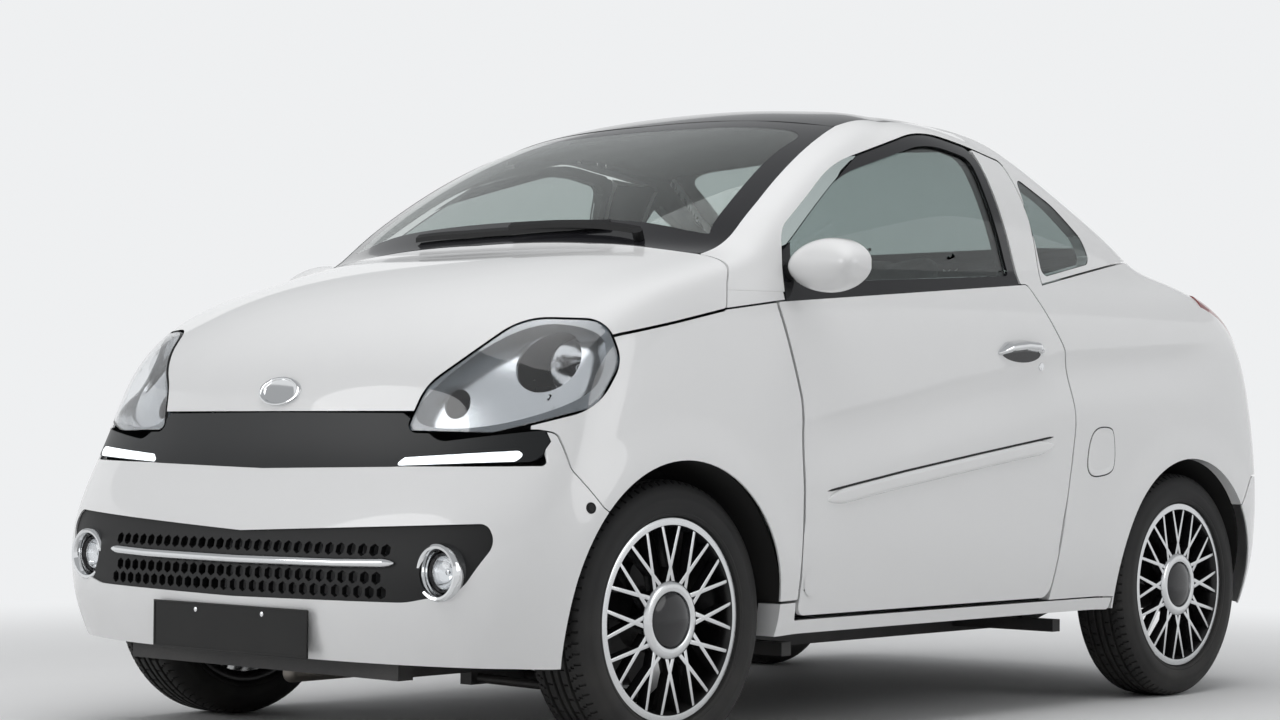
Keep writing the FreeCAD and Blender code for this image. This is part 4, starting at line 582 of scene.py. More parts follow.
def strip_on_skin(name, view, line, half_width, rise, sink=1.0, steps=60, across=9, power=4,
                  taper=0.06):
    """A raised moulding that follows a line drawn on the skin in one view."""
    line = np.array(line, float)
    run = np.concatenate(([0], np.cumsum(np.hypot(*np.diff(line, axis=0).T))))
    t = np.linspace(0, 1, steps)
    centre = np.stack([np.interp(t * run[-1], run, line[:, k]) for k in (0, 1)], 1)
    way = np.gradient(centre, axis=0)
    way /= np.linalg.norm(way, axis=1, keepdims=True)
    side = np.stack((-way[:, 1], way[:, 0]), 1)
    ends = np.sqrt(np.clip(np.minimum(t, 1 - t) / taper, 0.02, 1.0))
    spread = np.linspace(-1, 1, across)
    flat = (centre[:, None] + side[:, None] * (spread[None, :, None]
                                              * (half_width * ends)[:, None, None]))
    plain = SKIN.across(view, flat.reshape(-1, 2))
    full, normal, _ = SKIN.read(plain)
    lift = rise * ends[:, None] * (1 - np.abs(spread[None]) ** power)
    outside = full + normal * lift.reshape(-1, 1)
    inside = full - normal * sink
    shape = (steps, across, 3)
    return shell(name, outside.reshape(shape), inside.reshape(shape))


def patch_on_skin(name, view, outline, rise, sink=1.0, rings=7, crown=0.0):
    """A raised flat or crowned patch inside a closed outline drawn on the skin."""
    outline = np.array(outline, float)
    middle = outline.mean(axis=0)
    shares = np.linspace(0, 1, rings + 1)[1:]
    flat = np.concatenate([middle + (outline - middle) * share for share in shares])
    flat = np.concatenate((flat, middle[None]))
    full, normal, _ = SKIN.read(SKIN.across(view, flat))
    count = len(outline)
    swell = np.concatenate((np.repeat(1 - shares ** 2, count), [1.0])) * crown + rise
    top, low = full + normal * swell[:, None], full - normal * sink
    vertices = np.concatenate((top, low[(rings - 1) * count:rings * count]))
    faces = []
    for k in range(rings - 1):
        for i in range(count):
            j = (i + 1) % count
            faces.append((k * count + i, k * count + j, (k + 1) * count + j,
                          (k + 1) * count + i))
    edge, base = (rings - 1) * count, rings * count + 1
    for i in range(count):
        j = (i + 1) % count
        faces.append((rings * count, j, i))
        faces.append((edge + i, edge + j, base + j, base + i))
    faces.append(tuple(range(base, base + count)))
    obj = new_object(name, vertices * MM, (), faces)
    activate(obj)
    bpy.ops.object.mode_set(mode="EDIT")
    bpy.ops.mesh.select_all(action="SELECT")
    bpy.ops.mesh.normals_make_consistent(inside=False)
    bpy.ops.object.mode_set(mode="OBJECT")
    return obj


def oval(a, b, half_a, half_b, count=48):
    return [(a + half_a * math.cos(t), b + half_b * math.sin(t))
            for t in (2 * math.pi * k / count for k in range(count))]


def place_on_skin(view, a, b):
    """A point on the full skin, in millimetres, with its normal."""
    full, normal, _ = SKIN.read(SKIN.across(view, [(a, b)]))
    return full[0], normal[0]


SKIN = Skin()


# Node groups that several finishes share
def shader_group(name, inputs, outputs):
    group = bpy.data.node_groups.new(name, "ShaderNodeTree")
    for label, kind, value in inputs:
        socket = group.interface.new_socket(name=label, in_out="INPUT", socket_type=kind)
        socket.default_value = value
    for label, kind in outputs:
        group.interface.new_socket(name=label, in_out="OUTPUT", socket_type=kind)
    nodes = group.nodes
    return group, nodes.new("NodeGroupInput"), nodes.new("NodeGroupOutput")


def add(tree, kind, links=(), **values):
    """A node with its settings, and its inputs wired from (input, socket) pairs."""
    node = tree.nodes.new(kind)
    for key, value in values.items():
        if key.startswith("in_"):
            node.inputs[int(key[3:])].default_value = value
        else:
            setattr(node, key, value)
    for key, socket in links:
        tree.links.new(socket, node.inputs[key])
    return node


FLOAT, COLOUR = "NodeSocketFloat", "NodeSocketColor"


def finish_group():
    """Grain, mottling and the dust that settles low down, as colour, roughness and height."""
    group, given, out = shader_group(
        "Surface finish",
        [("Colour", COLOUR, (1, 1, 1, 1)), ("Second colour", COLOUR, (1, 1, 1, 1)),
         ("Grain scale", FLOAT, 400.0), ("Mottle scale", FLOAT, 9.0),
         ("Roughness", FLOAT, 0.4), ("Roughness spread", FLOAT, 0.05),
         ("Dust", FLOAT, 0.1), ("Dust height", FLOAT, 0.4)],
        [("Colour", COLOUR), ("Roughness", FLOAT), ("Height", FLOAT)])
    place = add(group, "ShaderNodeTexCoord").outputs["Object"]
    grain = add(group, "ShaderNodeTexNoise", [("Vector", place), ("Scale", given.outputs[2])],
                in_3=3.0)
    mottle = add(group, "ShaderNodeTexNoise", [("Vector", place), ("Scale", given.outputs[3])],
                 in_3=4.0)
    tone = add(group, "ShaderNodeMix", [(0, mottle.outputs["Fac"]), (6, given.outputs[0]),
                                        (7, given.outputs[1])], data_type="RGBA")
    height = add(group, "ShaderNodeSeparateXYZ", [(0, place)]).outputs["Z"]
    low = add(group, "ShaderNodeMapRange", [("Value", height), ("From Max", given.outputs[7])],
              in_3=1.0, in_4=0.0)
    low.interpolation_type = "SMOOTHSTEP"
    spots = add(group, "ShaderNodeMapRange", [("Value", mottle.outputs["Fac"])],
                in_1=0.35, in_2=0.7, in_3=0.35, in_4=1.0)
    dusty = add(group, "ShaderNodeMath", [(0, low.outputs[0]), (1, spots.outputs[0])],
                operation="MULTIPLY")
    dusty = add(group, "ShaderNodeMath", [(0, dusty.outputs[0]), (1, given.outputs[6])],
                operation="MULTIPLY")
    colour = add(group, "ShaderNodeMix", [(0, dusty.outputs[0]), (6, tone.outputs[2])],
                 data_type="RGBA", in_7=(0.32, 0.29, 0.25, 1))
    centred = add(group, "ShaderNodeMath", [(0, grain.outputs["Fac"])], operation="SUBTRACT",
                  in_1=0.5)
    rough = add(group, "ShaderNodeMath", [(0, centred.outputs[0]), (1, given.outputs[5]),
                                          (2, given.outputs[4])], operation="MULTIPLY_ADD")
    rough = add(group, "ShaderNodeMath", [(0, dusty.outputs[0]), (2, rough.outputs[0])],
                operation="MULTIPLY_ADD", in_1=0.3, use_clamp=True)
    group.links.new(colour.outputs[2], out.inputs[0])
    group.links.new(rough.outputs[0], out.inputs[1])
    group.links.new(grain.outputs["Fac"], out.inputs[2])
    return group


def turned_group():
    """Fine rings left by a lathe round an axle, as a height."""
    group, given, out = shader_group("Turned rings", [("Rings", FLOAT, 900.0)],
                                     [("Height", FLOAT)])
    place = add(group, "ShaderNodeTexCoord").outputs["Object"]
    parts = add(group, "ShaderNodeSeparateXYZ", [(0, place)])
    lengths = []
    for axle in (FRONT_AXLE_Y, REAR_AXLE_Y):
        y = add(group, "ShaderNodeMath", [(0, parts.outputs["Y"])], operation="SUBTRACT",
                in_1=axle * MM)
        z = add(group, "ShaderNodeMath", [(0, parts.outputs["Z"])], operation="SUBTRACT",
                in_1=AXLE_Z * MM)
        pair = add(group, "ShaderNodeCombineXYZ", [(0, y.outputs[0]), (1, z.outputs[0])])
        lengths.append(add(group, "ShaderNodeVectorMath", [(0, pair.outputs[0])],
                           operation="LENGTH").outputs["Value"])
    radius = add(group, "ShaderNodeMath", [(0, lengths[0]), (1, lengths[1])],
                 operation="MINIMUM")
    turns = add(group, "ShaderNodeMath", [(0, radius.outputs[0]), (1, given.outputs[0])],
                operation="MULTIPLY")
    noise = add(group, "ShaderNodeTexNoise", [("W", turns.outputs[0])],
                noise_dimensions="1D", in_2=1.0)
    group.links.new(noise.outputs["Fac"], out.inputs[0])
    return group


def weave_group():
    """Crossed threads with a little fuzz, as a mask and a height."""
    group, given, out = shader_group("Woven cloth", [("Threads", FLOAT, 500.0)],
                                     [("Mask", FLOAT), ("Height", FLOAT)])
    place = add(group, "ShaderNodeTexCoord").outputs["Object"]
    waves = [add(group, "ShaderNodeTexWave", [("Vector", place), ("Scale", given.outputs[0])],
                 bands_direction=way, in_2=1.2, in_3=2.0) for way in ("X", "DIAGONAL")]
    cross = add(group, "ShaderNodeMath", [(0, waves[0].outputs["Fac"]),
                                          (1, waves[1].outputs["Fac"])], operation="MULTIPLY")
    fuzz = add(group, "ShaderNodeTexNoise", [("Vector", place)], in_2=60.0, in_3=6.0)
    mask = add(group, "ShaderNodeMath", [(0, cross.outputs[0]), (1, fuzz.outputs["Fac"])],
               operation="MULTIPLY")
    group.links.new(mask.outputs[0], out.inputs[0])
    group.links.new(cross.outputs[0], out.inputs[1])
    return group


GROUPS = {}
FINISHES = {}


def material(name, colour, second=None, rough=0.4, spread=0.05, grain=400.0, mottle=9.0,
             bump=0.2, depth=0.0003, dust=0.1, dust_height=0.4, height=None, **sockets):
    """A finish whose colour, roughness and grain come from the shared node group."""
    made = bpy.data.materials.new(name)
    made.use_nodes = True
    tree = made.node_tree
    shader = tree.nodes["Principled BSDF"]
    finish = tree.nodes.new("ShaderNodeGroup")
    finish.node_tree = GROUPS["finish"]
    second = second or tuple(c * 0.93 for c in colour)
    for key, value in (("Colour", (*colour, 1)), ("Second colour", (*second, 1)),
                       ("Grain scale", grain), ("Mottle scale", mottle), ("Roughness", rough),
                       ("Roughness spread", spread), ("Dust", dust),
                       ("Dust height", dust_height)):
        finish.inputs[key].default_value = value
    tree.links.new(finish.outputs["Colour"], shader.inputs["Base Color"])
    tree.links.new(finish.outputs["Roughness"], shader.inputs["Roughness"])
    source = finish.outputs["Height"]
    if height is not None:
        extra = tree.nodes.new("ShaderNodeGroup")
        extra.node_tree = GROUPS[height[0]]
        extra.inputs[0].default_value = height[1]
        source = extra.outputs["Height"]
    node = add(tree, "ShaderNodeBump", [("Height", source)], in_0=bump, in_1=depth)
    tree.links.new(node.outputs[0], shader.inputs["Normal"])
    for key, value in sockets.items():
        shader.inputs[key.replace("_", " ")].default_value = value
    made.diffuse_color = (*colour, 1)
    return made


def glass(name, colour, rough=0.0, ior=1.45):
    made = bpy.data.materials.new(name)
    made.use_nodes = True
    tree = made.node_tree
    shader = tree.nodes["Principled BSDF"]
    place = add(tree, "ShaderNodeTexCoord").outputs["Object"]
    haze = add(tree, "ShaderNodeTexNoise", [("Vector", place)], in_2=14.0, in_3=3.0)
    film = add(tree, "ShaderNodeMapRange", [("Value", haze.outputs["Fac"])], in_1=0.4, in_2=0.9,
               in_3=rough, in_4=rough + 0.03)
    tree.links.new(film.outputs[0], shader.inputs["Roughness"])
    tint = add(tree, "ShaderNodeMix", [(0, haze.outputs["Fac"])], data_type="RGBA",
               in_6=(*colour, 1), in_7=(*(c * 0.97 for c in colour), 1))
    tree.links.new(tint.outputs[2], shader.inputs["Base Color"])
    shader.inputs["Transmission Weight"].default_value = 1.0
    shader.inputs["IOR"].default_value = ior
    made.diffuse_color = (*colour, 0.4)
    return made


def make_finishes(looks):
    GROUPS.update(finish=finish_group(), turned=turned_group(), weave=weave_group())
    paint = tuple(looks.paint_colour)
    FINISHES.update(
        paint=material("Pearl paint", paint, second=tuple(c * 0.985 for c in paint), rough=0.3,
                       spread=0.08, grain=1800, bump=0.03, depth=0.0001, dust=0.08,
                       Coat_Weight=1.0, Coat_Roughness=0.03),
        gloss=material("Gloss black", (0.012, 0.012, 0.014), rough=0.12, spread=0.03, bump=0.02,
                       dust=0.04, Coat_Weight=0.4, Coat_Roughness=0.02, Specular_IOR_Level=0.3),
        satin=material("Satin black band", (0.010, 0.011, 0.012), second=(0.014, 0.015, 0.016),
                       rough=0.36, grain=2600, bump=0.12, dust=0.03, Specular_IOR_Level=0.35),
        trim=material("Moulded black trim", (0.006, 0.006, 0.007), second=(0.010, 0.010, 0.010),
                      rough=0.5, spread=0.15, grain=1500, bump=0.35, depth=0.0004, dust=0.06,
                      Specular_IOR_Level=0.3),
        liner=material("Wheelhouse liner", (0.01, 0.01, 0.01), second=(0.014, 0.013, 0.013),
                       rough=0.85, grain=500, bump=0.5, dust=0.06, dust_height=0.6),
        # Near-black finish for the strip round the fuel flap: painted shade of the flap's gap.
        rubber=material("Painted flap gap shade", (0.01, 0.01, 0.01), rough=0.6, grain=900, bump=0.2),
        window=glass("Tinted glass", (0.74, 0.79, 0.77)),
        side_window=glass("Dark side glass", (0.50, 0.56, 0.55)),
        lens=glass("Clear lens", (0.97, 0.98, 0.99)),
        lens_rim=material("Grey lens rim", (0.10, 0.12, 0.14), rough=0.15, bump=0.02,
                          Coat_Weight=1.0),
        chrome=material("Chrome", (0.80, 0.81, 0.82), rough=0.06, spread=0.03, bump=0.02,
                        dust=0.04, Metallic=1.0),
        reflector=material("Mirrored reflector", (0.86, 0.87, 0.88), rough=0.1, grain=90,
                           bump=0.25, depth=0.0006, dust=0.0, Metallic=1.0),
        lamp_body=material("Lamp housing silver", (0.55, 0.57, 0.59), rough=0.22, bump=0.05,
                           dust=0.0, Metallic=0.85),
        red=material("Red lamp", (0.32, 0.006, 0.008), rough=0.08, grain=300, bump=0.05,
                     dust=0.02, Coat_Weight=1.0, Transmission_Weight=0.25),
        plate=material("Blank black plate", (0.005, 0.005, 0.005), second=(0.008, 0.008, 0.008),
                       rough=0.45, grain=1200, bump=0.15, dust=0.03, Specular_IOR_Level=0.3),
        machined=material("Machined alloy", (0.72, 0.73, 0.74), rough=0.24, spread=0.08,
                          bump=0.25, depth=0.00015, dust=0.06, height=("turned", 2200.0),
                          Metallic=1.0),
        pocket=material("Black wheel pockets", (0.007, 0.007, 0.008), rough=0.25, dust=0.03,
                        dust_height=0.6, Specular_IOR_Level=0.4),
        tyre=material("Tyre rubber", (0.010, 0.010, 0.011), second=(0.017, 0.017, 0.017),
                      rough=0.62, spread=0.12, grain=1100, mottle=14, bump=0.3, dust=0.06,
                      dust_height=0.6, Specular_IOR_Level=0.35),
        frame_steel=material("Coated frame steel", (0.02, 0.02, 0.022), rough=0.5,
                             spread=0.2, grain=220, bump=0.3, dust=0.12, dust_height=0.5),
        suspension=material("Suspension steel", (0.03, 0.03, 0.032), rough=0.45, spread=0.2,
                            grain=300, bump=0.25, dust=0.12, dust_height=0.5, Metallic=0.4),
        engine=material("Cast engine block", (0.28, 0.28, 0.29), second=(0.2, 0.2, 0.2),
                        rough=0.55, grain=260, bump=0.5, depth=0.0008, dust=0.3,
                        Metallic=0.7),
        exhaust=material("Dull exhaust steel", (0.42, 0.40, 0.38), second=(0.3, 0.26, 0.22),
                         rough=0.42, grain=160, mottle=25, bump=0.2, dust=0.4,
                         Metallic=0.9),
        cabin=material("Grained cabin plastic", (0.02, 0.02, 0.022), rough=0.6, spread=0.1,
                       grain=1300, bump=0.45, depth=0.0005, dust=0.0),
        leather=material("Steering wheel leather", (0.017, 0.016, 0.016), rough=0.5,
                         grain=700, bump=0.5, depth=0.0004, dust=0.0),
        carpet=material("Floor carpet", (0.02, 0.02, 0.021), second=(0.035, 0.035, 0.035),
                        rough=0.95, grain=900, mottle=60, bump=0.8, depth=0.002, dust=0.0,
                        Sheen_Weight=0.3),
        cloth=material("Seat cloth", (0.018, 0.018, 0.02), second=(0.035, 0.035, 0.038),
                       rough=0.9, mottle=90, bump=0.7, depth=0.0006, dust=0.0,
                       height=("weave", 420.0), Sheen_Weight=0.35),
        led=lit("Daylight lamp light", (0.93, 0.97, 1.0), 1.6),
    )


def lit(name, colour, strength):
    made = material(name, colour, rough=0.2, dust=0.0)
    shader = made.node_tree.nodes["Principled BSDF"]
    place = add(made.node_tree, "ShaderNodeTexCoord").outputs["Object"]
    cells = add(made.node_tree, "ShaderNodeTexVoronoi", [("Vector", place)], in_2=70.0)
    glow = add(made.node_tree, "ShaderNodeMix", [(0, cells.outputs["Distance"])],
               data_type="RGBA", in_6=(*colour, 1), in_7=(0.35, 0.38, 0.4, 1))
    made.node_tree.links.new(glow.outputs[2], shader.inputs["Emission Color"])
    shader.inputs["Emission Strength"].default_value = strength
    return made


# The pieces
PANELS = {
    # node: finish, slot
    "front_bumper": ("paint", "paint"), "bonnet": ("paint", "paint"),
    "front_wings": ("paint", "paint"), "roof_arches": ("paint", "paint"),
    "rear_quarters": ("paint", "paint"), "boot_lid": ("paint", "paint"),
    "rear_bumper": ("paint", "paint"), "sills": ("paint", "paint"),
    "door_left": ("paint", "paint"), "door_right": ("paint", "paint"),
    "roof_panel": ("gloss", "gloss_black"), "nose_band": ("satin", "gloss_black"),
    "door_frame_left": ("gloss", "gloss_black"), "door_frame_right": ("gloss", "gloss_black"),
    "grille": ("trim", "trim_black"),
}
LINED = ("roof_arches", "roof_panel", "rear_quarters", "door_left", "door_right",
         "door_frame_left", "door_frame_right", "boot_lid", "bonnet", "front_wings")
CARRIED = {
    "trim": "wiper", "liner": "wheelhouses", "frame_steel": "chassis_frame bulkhead",
    "suspension": "front_suspension front_struts rear_axle knuckle_left knuckle_right track_rods",
    "engine": "engine_block", "exhaust": "exhaust", "cabin": "dashboard parcel_shelf",
    "carpet": "floor_pan boot_tub", "plate": "number_plates", "lamp_body": "headlamp_units",
    "chrome": "fog_lamps grille_bar door_handle_left door_handle_right",
    "led": "daylight_lamps",
    "paint": "door_mirror_left door_mirror_right",
    "tyre": "tyre_front_left tyre_front_right tyre_rear_left tyre_rear_right",
    "machined": "rim_front_left rim_front_right rim_rear_left rim_rear_right",
}


def build_panels():
    for node, (finish, slot) in PANELS.items():
        is_door = node in ("door_left", "door_right")
        piece = fit_to_skin(node_copy(node, node + "_panel"), flush=is_door)
        dress(piece, FINISHES[finish], body_of(node), [node])
        if node in LINED:
            line_inside(piece, FINISHES["cabin"])


def build_hinge_arms():
    """The hinge pillars and arms, with each eye kept under the door's skin."""
    arms = node_copy("door_hinges", "door_hinge_arms")
    points = np.array([v.co for v in arms.data.vertices]) / MM
    full, normal, _ = SKIN.read(points)
    depth = ((full - points) * normal).sum(1)
    for vertex, point, way, deep in zip(arms.data.vertices, points, normal, depth):
        if deep < 3.5 and point[2] < 700:
            vertex.co = (point - way * (3.5 - deep)) * MM
    dress(arms, FINISHES["frame_steel"], "body", ["door_hinges"], 30)


def build_carried():
    """Gives each CAD node that stays in view its finish."""
    for finish, names in CARRIED.items():
        for name in names.split():
            NODES[name].data.materials.clear()
            NODES[name].data.materials.append(FINISHES[finish])


def windscreen_outline():
    return halves(GLASS_BASE + ARCH_INNER + HEADER_FRONT)


def rear_outline():
    return halves(HEADER_REAR + ARCH_REAR + REAR_BASE)


def bordered_glass(node, view, outline, widths, clear, name):
    """Splits a pane into its clear middle and the black printed band round it."""
    inner = chaikin(inset(outline, widths), 3)
    low, high = (0, 2000) if view == "top" else (-1700, 1700)
    cutter = prism("cutter", view, inner, low, high)
    band = node_copy(node, name + "_black_band")
    boolean(band, cutter, "DIFFERENCE")
    pane = node_copy(node, name + "_pane")
    boolean(pane, cutter, "INTERSECT")
    remove(cutter)
    body = body_of(node)
    dress(fit_to_skin(band), FINISHES["gloss"], body, [node])
    dress(fit_to_skin(pane), clear, body, [node])


def build_windows():
    tint, dark = FINISHES["window"], FINISHES["side_window"]
    front = windscreen_outline()
    widths = [78 if b < -700 else 58 for a, b in front]
    bordered_glass("windscreen", "top", front, widths, tint, "windscreen")
    bordered_glass("rear_window", "top", rear_outline(), 45, dark, "rear_window")
    for side, sign in SIDES:
        node = "door_glass_" + side
        dress(fit_to_skin(node_copy(node, node + "_pane")), dark, body_of(node),
              [node])
    dress(fit_to_skin(node_copy("quarter_glass", "quarter_window_panes")), dark, "body",
          ["quarter_glass"])
    dress(fit_to_skin(node_copy("headlamp_lenses", "headlamp_clear_lenses"), 8),
          FINISHES["lens"], "body", ["headlamp_lenses"])


PILLAR_FOOT = [(-799, 921), (-781, 970), (-755, 1013), (-700, 1100), (-606, 1060), (-606, 946),
               (-631, 943)]
HINGE_PATCHES = [(-545, 345), (-545, 655)]


def build_pillar_feet():
    """The foot of each roof arch, down to the shut line over the wing."""
    for side, sign in SIDES:
        foot = SKIN.slab("foot", (ring("brow") - 0.02, ring("bonnet") - 0.0005),
                         (station(3.2), station(7)), 0, 20)
        cutter = prism("cutter", "side", PILLAR_FOOT, 300, 900)
        boolean(foot, cutter, "INTERSECT")
        remove(cutter)
        if sign < 0:
            foot.data.transform(Matrix.Scale(-1, 4, (1, 0, 0)))
            foot.data.flip_normals()
        foot.name = "arch_foot_" + side
        dress(fit_to_skin(foot), FINISHES["paint"], "body")


def both(make, name, finish, body, smooth=None, replaced=None):
    """Builds a left-hand piece and its mirrored right-hand twin."""
    left = make(name + "_left")
    right = mirrored(left, name + "_right")
    for piece, side in ((left, "left"), (right, "right")):
        ride_on = body.format(side)
        nodes = [n.format(side) for n in replaced or ()]
        dress(piece, FINISHES[finish] if finish else None, ride_on, nodes, smooth)
    return left, right


MOULDING = [(-505, 520), (-220, 562), (80, 602), (375, 640)]


def build_door_trim():
    """The rubbing strip with its dark line, the pull handle with a gloss black patch of painted shade
    where its recess would be, and the lock.
    """
    both(lambda name: strip_on_skin(name, "side", MOULDING, 17, 8, across=13, power=6),
         "door_moulding", "paint", "door_{}", 40)
    line = [(y, z + 18.5) for y, z in MOULDING]
    both(lambda name: strip_on_skin(name, "side", line, 2.6, 2.2, across=5, taper=0.02),
         "door_moulding_dark_line", "trim", "door_{}", 60)
    # A slightly raised gloss black oval: painted shade standing in for the recess behind the pull
    # handle.
    both(lambda name: patch_on_skin(name, "side", oval(252, 858, 84, 25), 0.3), "handle_cup",
         "gloss", "door_{}", 40)
    bar = [(158, 852), (200, 866), (262, 872), (320, 870), (345, 858)]
    both(lambda name: strip_on_skin(name, "side", bar, 15, 24, across=13, power=2.5, taper=0.2),
         "door_pull_handle", "chrome", "door_{}", 60, ["door_handle_{}"])

    def lock(name):
        place, normal = place_on_skin("side", 342, 826)
        return spun(name, [(0, 3.2), (6, 3.2), (7, 2.6), (9.2, 2.4), (10, 1), (10, -2), (0, -2)],
                    40, normal, place * MM)
    both(lock, "door_lock_barrel", "chrome", "door_{}", 35)


def build_mirrors():
    """A smooth housing with its glass, on a black foot."""
    centre = Vector((801, -548, 1019))

    def housing(name):
        shares = np.sin(np.linspace(-1, 1, 45) * math.pi / 2) * 0.985
        angles = np.linspace(-math.pi / 2, math.pi / 2, 33)
        points = []
        for share in shares:
            depth = (1 - share ** 8) ** 0.25 * (60 + 20 * share)
            height = 58 * math.sqrt(1 - share ** 2)
            points += [centre + Vector((103 * share, -depth * max(math.cos(a), 0) ** 0.7,
                                        height * math.sin(a))) for a in angles]
        across, last = len(angles), len(shares) - 1
        faces = [(i * across + k, (i + 1) * across + k, (i + 1) * across + k + 1,
                  i * across + k + 1) for i in range(last) for k in range(across - 1)]
        faces += [tuple(range(across)), tuple(last * across + k for k in reversed(range(across)))]
        loop = ([i * across for i in range(last + 1)]
                + [i * across + across - 1 for i in range(last, -1, -1)])
        edge = [points[k] - centre for k in loop]
        for share, deep in ((0.95, 0.0), (0.935, -4.0)):
            points += [centre + Vector((p.x * share, deep, p.z * share)) for p in edge]
            new = list(range(len(points) - len(loop), len(points)))
            faces += [(a, b, d, c) for a, b, c, d in zip(loop, loop[1:] + loop[:1], new,
                                                         new[1:] + new[:1])]
            loop = new
        faces.append(tuple(loop))
        obj = new_object(name, [p * MM for p in points], (), faces)
        activate(obj)
        bpy.ops.object.mode_set(mode="EDIT")
        bpy.ops.mesh.select_all(action="SELECT")
        bpy.ops.mesh.normals_make_consistent(inside=False)
        bpy.ops.object.mode_set(mode="OBJECT")
        return obj
    both(housing, "mirror_housing", "paint", "door_{}", 40, ["door_mirror_{}"])

    def pane(name):
        bpy.ops.mesh.primitive_circle_add(vertices=64, radius=1, fill_type="NGON")
        disc = bpy.context.object
        disc.name = disc.data.name = name
        for vertex in disc.data.vertices:
            x, y, z = vertex.co
            vertex.co = (centre + Vector((x * 93, -3.4, y * 49))) * MM
        solid = disc.modifiers.new("thickness", "SOLIDIFY")
        solid.thickness, solid.offset = 0.002, 0.0
        return apply_modifiers(disc)
    both(pane, "mirror_pane", "chrome", "door_{}", 40)

    def foot(name):
        a, b = Vector((676, -563, 1004)), Vector((742, -566, 1014))
        away = b - a
        return spun(name, [(0, -4), (20, -4), (20.5, 6), (19, 18), (17, 34), (16, 52), (16, 70),
                           (0, 74)], 48, away, a * MM)
    both(foot, "mirror_foot", "trim", "door_{}", 50)


def build_small_trim():
    """The bare oval badge, the tow cap, the fuel flap with a dark strip of painted shade round it,
    the plates' screws and side patches.
    """
    place, normal = place_on_skin("front", 0, 742)
    badge = spun("bare_badge", [(0, 2.2), (40, 2.2), (46, 2.6), (49, 5), (53, 5.6), (57, 4.6),
                                (59, 1), (59, -1.5), (0, -1.5)], 72, normal, place * MM)
    middle = Vector(place * MM)
    up = Vector((0, 0, 1)) - Vector(normal) * Vector(normal).z
    up.normalize()
    for vertex in badge.data.vertices:
        away = vertex.co - middle
        vertex.co -= up * away.dot(up) * 0.46 - Vector((away.x * 0.1, 0, 0))
    dress(badge, FINISHES["chrome"], "hood", smooth=35)

    def cap(name):
        place, normal = place_on_skin("side", -1252, 514)
        return spun(name, [(0, 1.6), (6.5, 1.6), (7, 0.6), (8.5, 0.6), (9.5, 1.6), (11, 1.2),
                           (11.5, -1), (0, -1)], 40, normal, place * MM)
    both(cap, "bumper_side_cap", "trim", "body", 35)
    flap = chaikin([(520, 560), (622, 566), (648, 590), (644, 668), (628, 684), (560, 682),
                    (528, 640)], 3)
    loop = np.concatenate((flap, flap[:2]))
    # A dark strip raised on the skin along the flap's outline: painted shade standing in for the gap
    # round the flap.
    gap_shade_strip = strip_on_skin("fuel_flap_gap_painted_shade", "side", loop, 1.6, 0.4, sink=0.5, steps=160,
                           across=3, taper=0.001)
    dress(gap_shade_strip, FINISHES["rubber"], "body")
    flap_lid = patch_on_skin("fuel_flap", "side", inset(flap, 2.5), 1.2, crown=-3.5)
    dress(flap_lid, FINISHES["paint"], "body", smooth=30)
    for name, y, z, sign in (("front", -1522.0, 256, -1), ("rear", 1521.5, 488, 1)):
        screws = []
        for x in (-105, 105):
            screws.append(spun("screw", [(0, 2.4), (3, 2.2), (5, 1.2), (5.4, 0), (0, 0)], 24,
                               (0, sign, 0), Vector((x, y, z + 34)) * MM))
        piece = joined(f"{name}_plate_screws", screws)
        dress(piece, FINISHES["chrome"], "body", smooth=40)
        rim = plate_rim(f"{name}_plate_frame", y, z, sign)
        dress(rim, FINISHES["plate"], "body", smooth=40)
    for side, sign in SIDES:
        for k, (y, z) in enumerate(HINGE_PATCHES):
            patch = patch_on_skin(f"door_skin_patch_{k}_{side}", "side", oval(y, z, 26, 30), 0.3,
                                  sink=1.0, rings=3)
            if sign < 0:
                patch.data.transform(Matrix.Scale(-1, 4, (1, 0, 0)))
                patch.data.flip_normals()
            shade_by_skin(patch)
            dress(patch, FINISHES["paint"], "door_" + side)


def shade_by_skin(obj):
    """Takes the skin's own normals, so that a patch melts into its panel."""
    mesh = obj.data
    points = np.array([v.co for v in mesh.vertices]) / MM
    _, normal, _ = SKIN.read(points)
    for face in mesh.polygons:
        face.use_smooth = True
    loops = [loop.vertex_index for loop in mesh.loops]
    mesh.normals_split_custom_set(normal[loops].tolist())


def plate_rim(name, y, z, sign):
    """A thin raised frame round a blank plate."""
    half_x, half_z, width = 243.5, 49.0, 5.0
    outer = [(-half_x, z - half_z), (half_x, z - half_z), (half_x, z + half_z),
             (-half_x, z + half_z)]
    inner = [(-half_x + width, z - half_z + width), (half_x - width, z - half_z + width),
             (half_x - width, z + half_z - width), (-half_x + width, z + half_z - width)]
    flat = [(x, y, v) for x, v in outer] + [(x, y, v) for x, v in inner]
    faces = [(i, (i + 1) % 4, 4 + (i + 1) % 4, 4 + i) for i in range(4)]
    obj = new_object(name, [Vector(p) * MM for p in flat], (), faces)
    solid = obj.modifiers.new("thickness", "SOLIDIFY")
    solid.thickness, solid.offset = 0.0024, 0.0
    bevel = obj.modifiers.new("edge", "BEVEL")
    bevel.width, bevel.segments = 0.0006, 2
    apply_modifiers(obj)
    activate(obj)
    bpy.ops.object.mode_set(mode="EDIT")
    bpy.ops.mesh.select_all(action="SELECT")
    bpy.ops.mesh.normals_make_consistent(inside=False)
    bpy.ops.object.mode_set(mode="OBJECT")
    return obj


LAMP_AXIS = Vector((math.sin(math.radians(20)), -math.cos(math.radians(20)), 0.05)).normalized()
BIG_BOWL = Vector((562, -1085, 792))
SMALL_BOWL = Vector((424, -1222, 709))


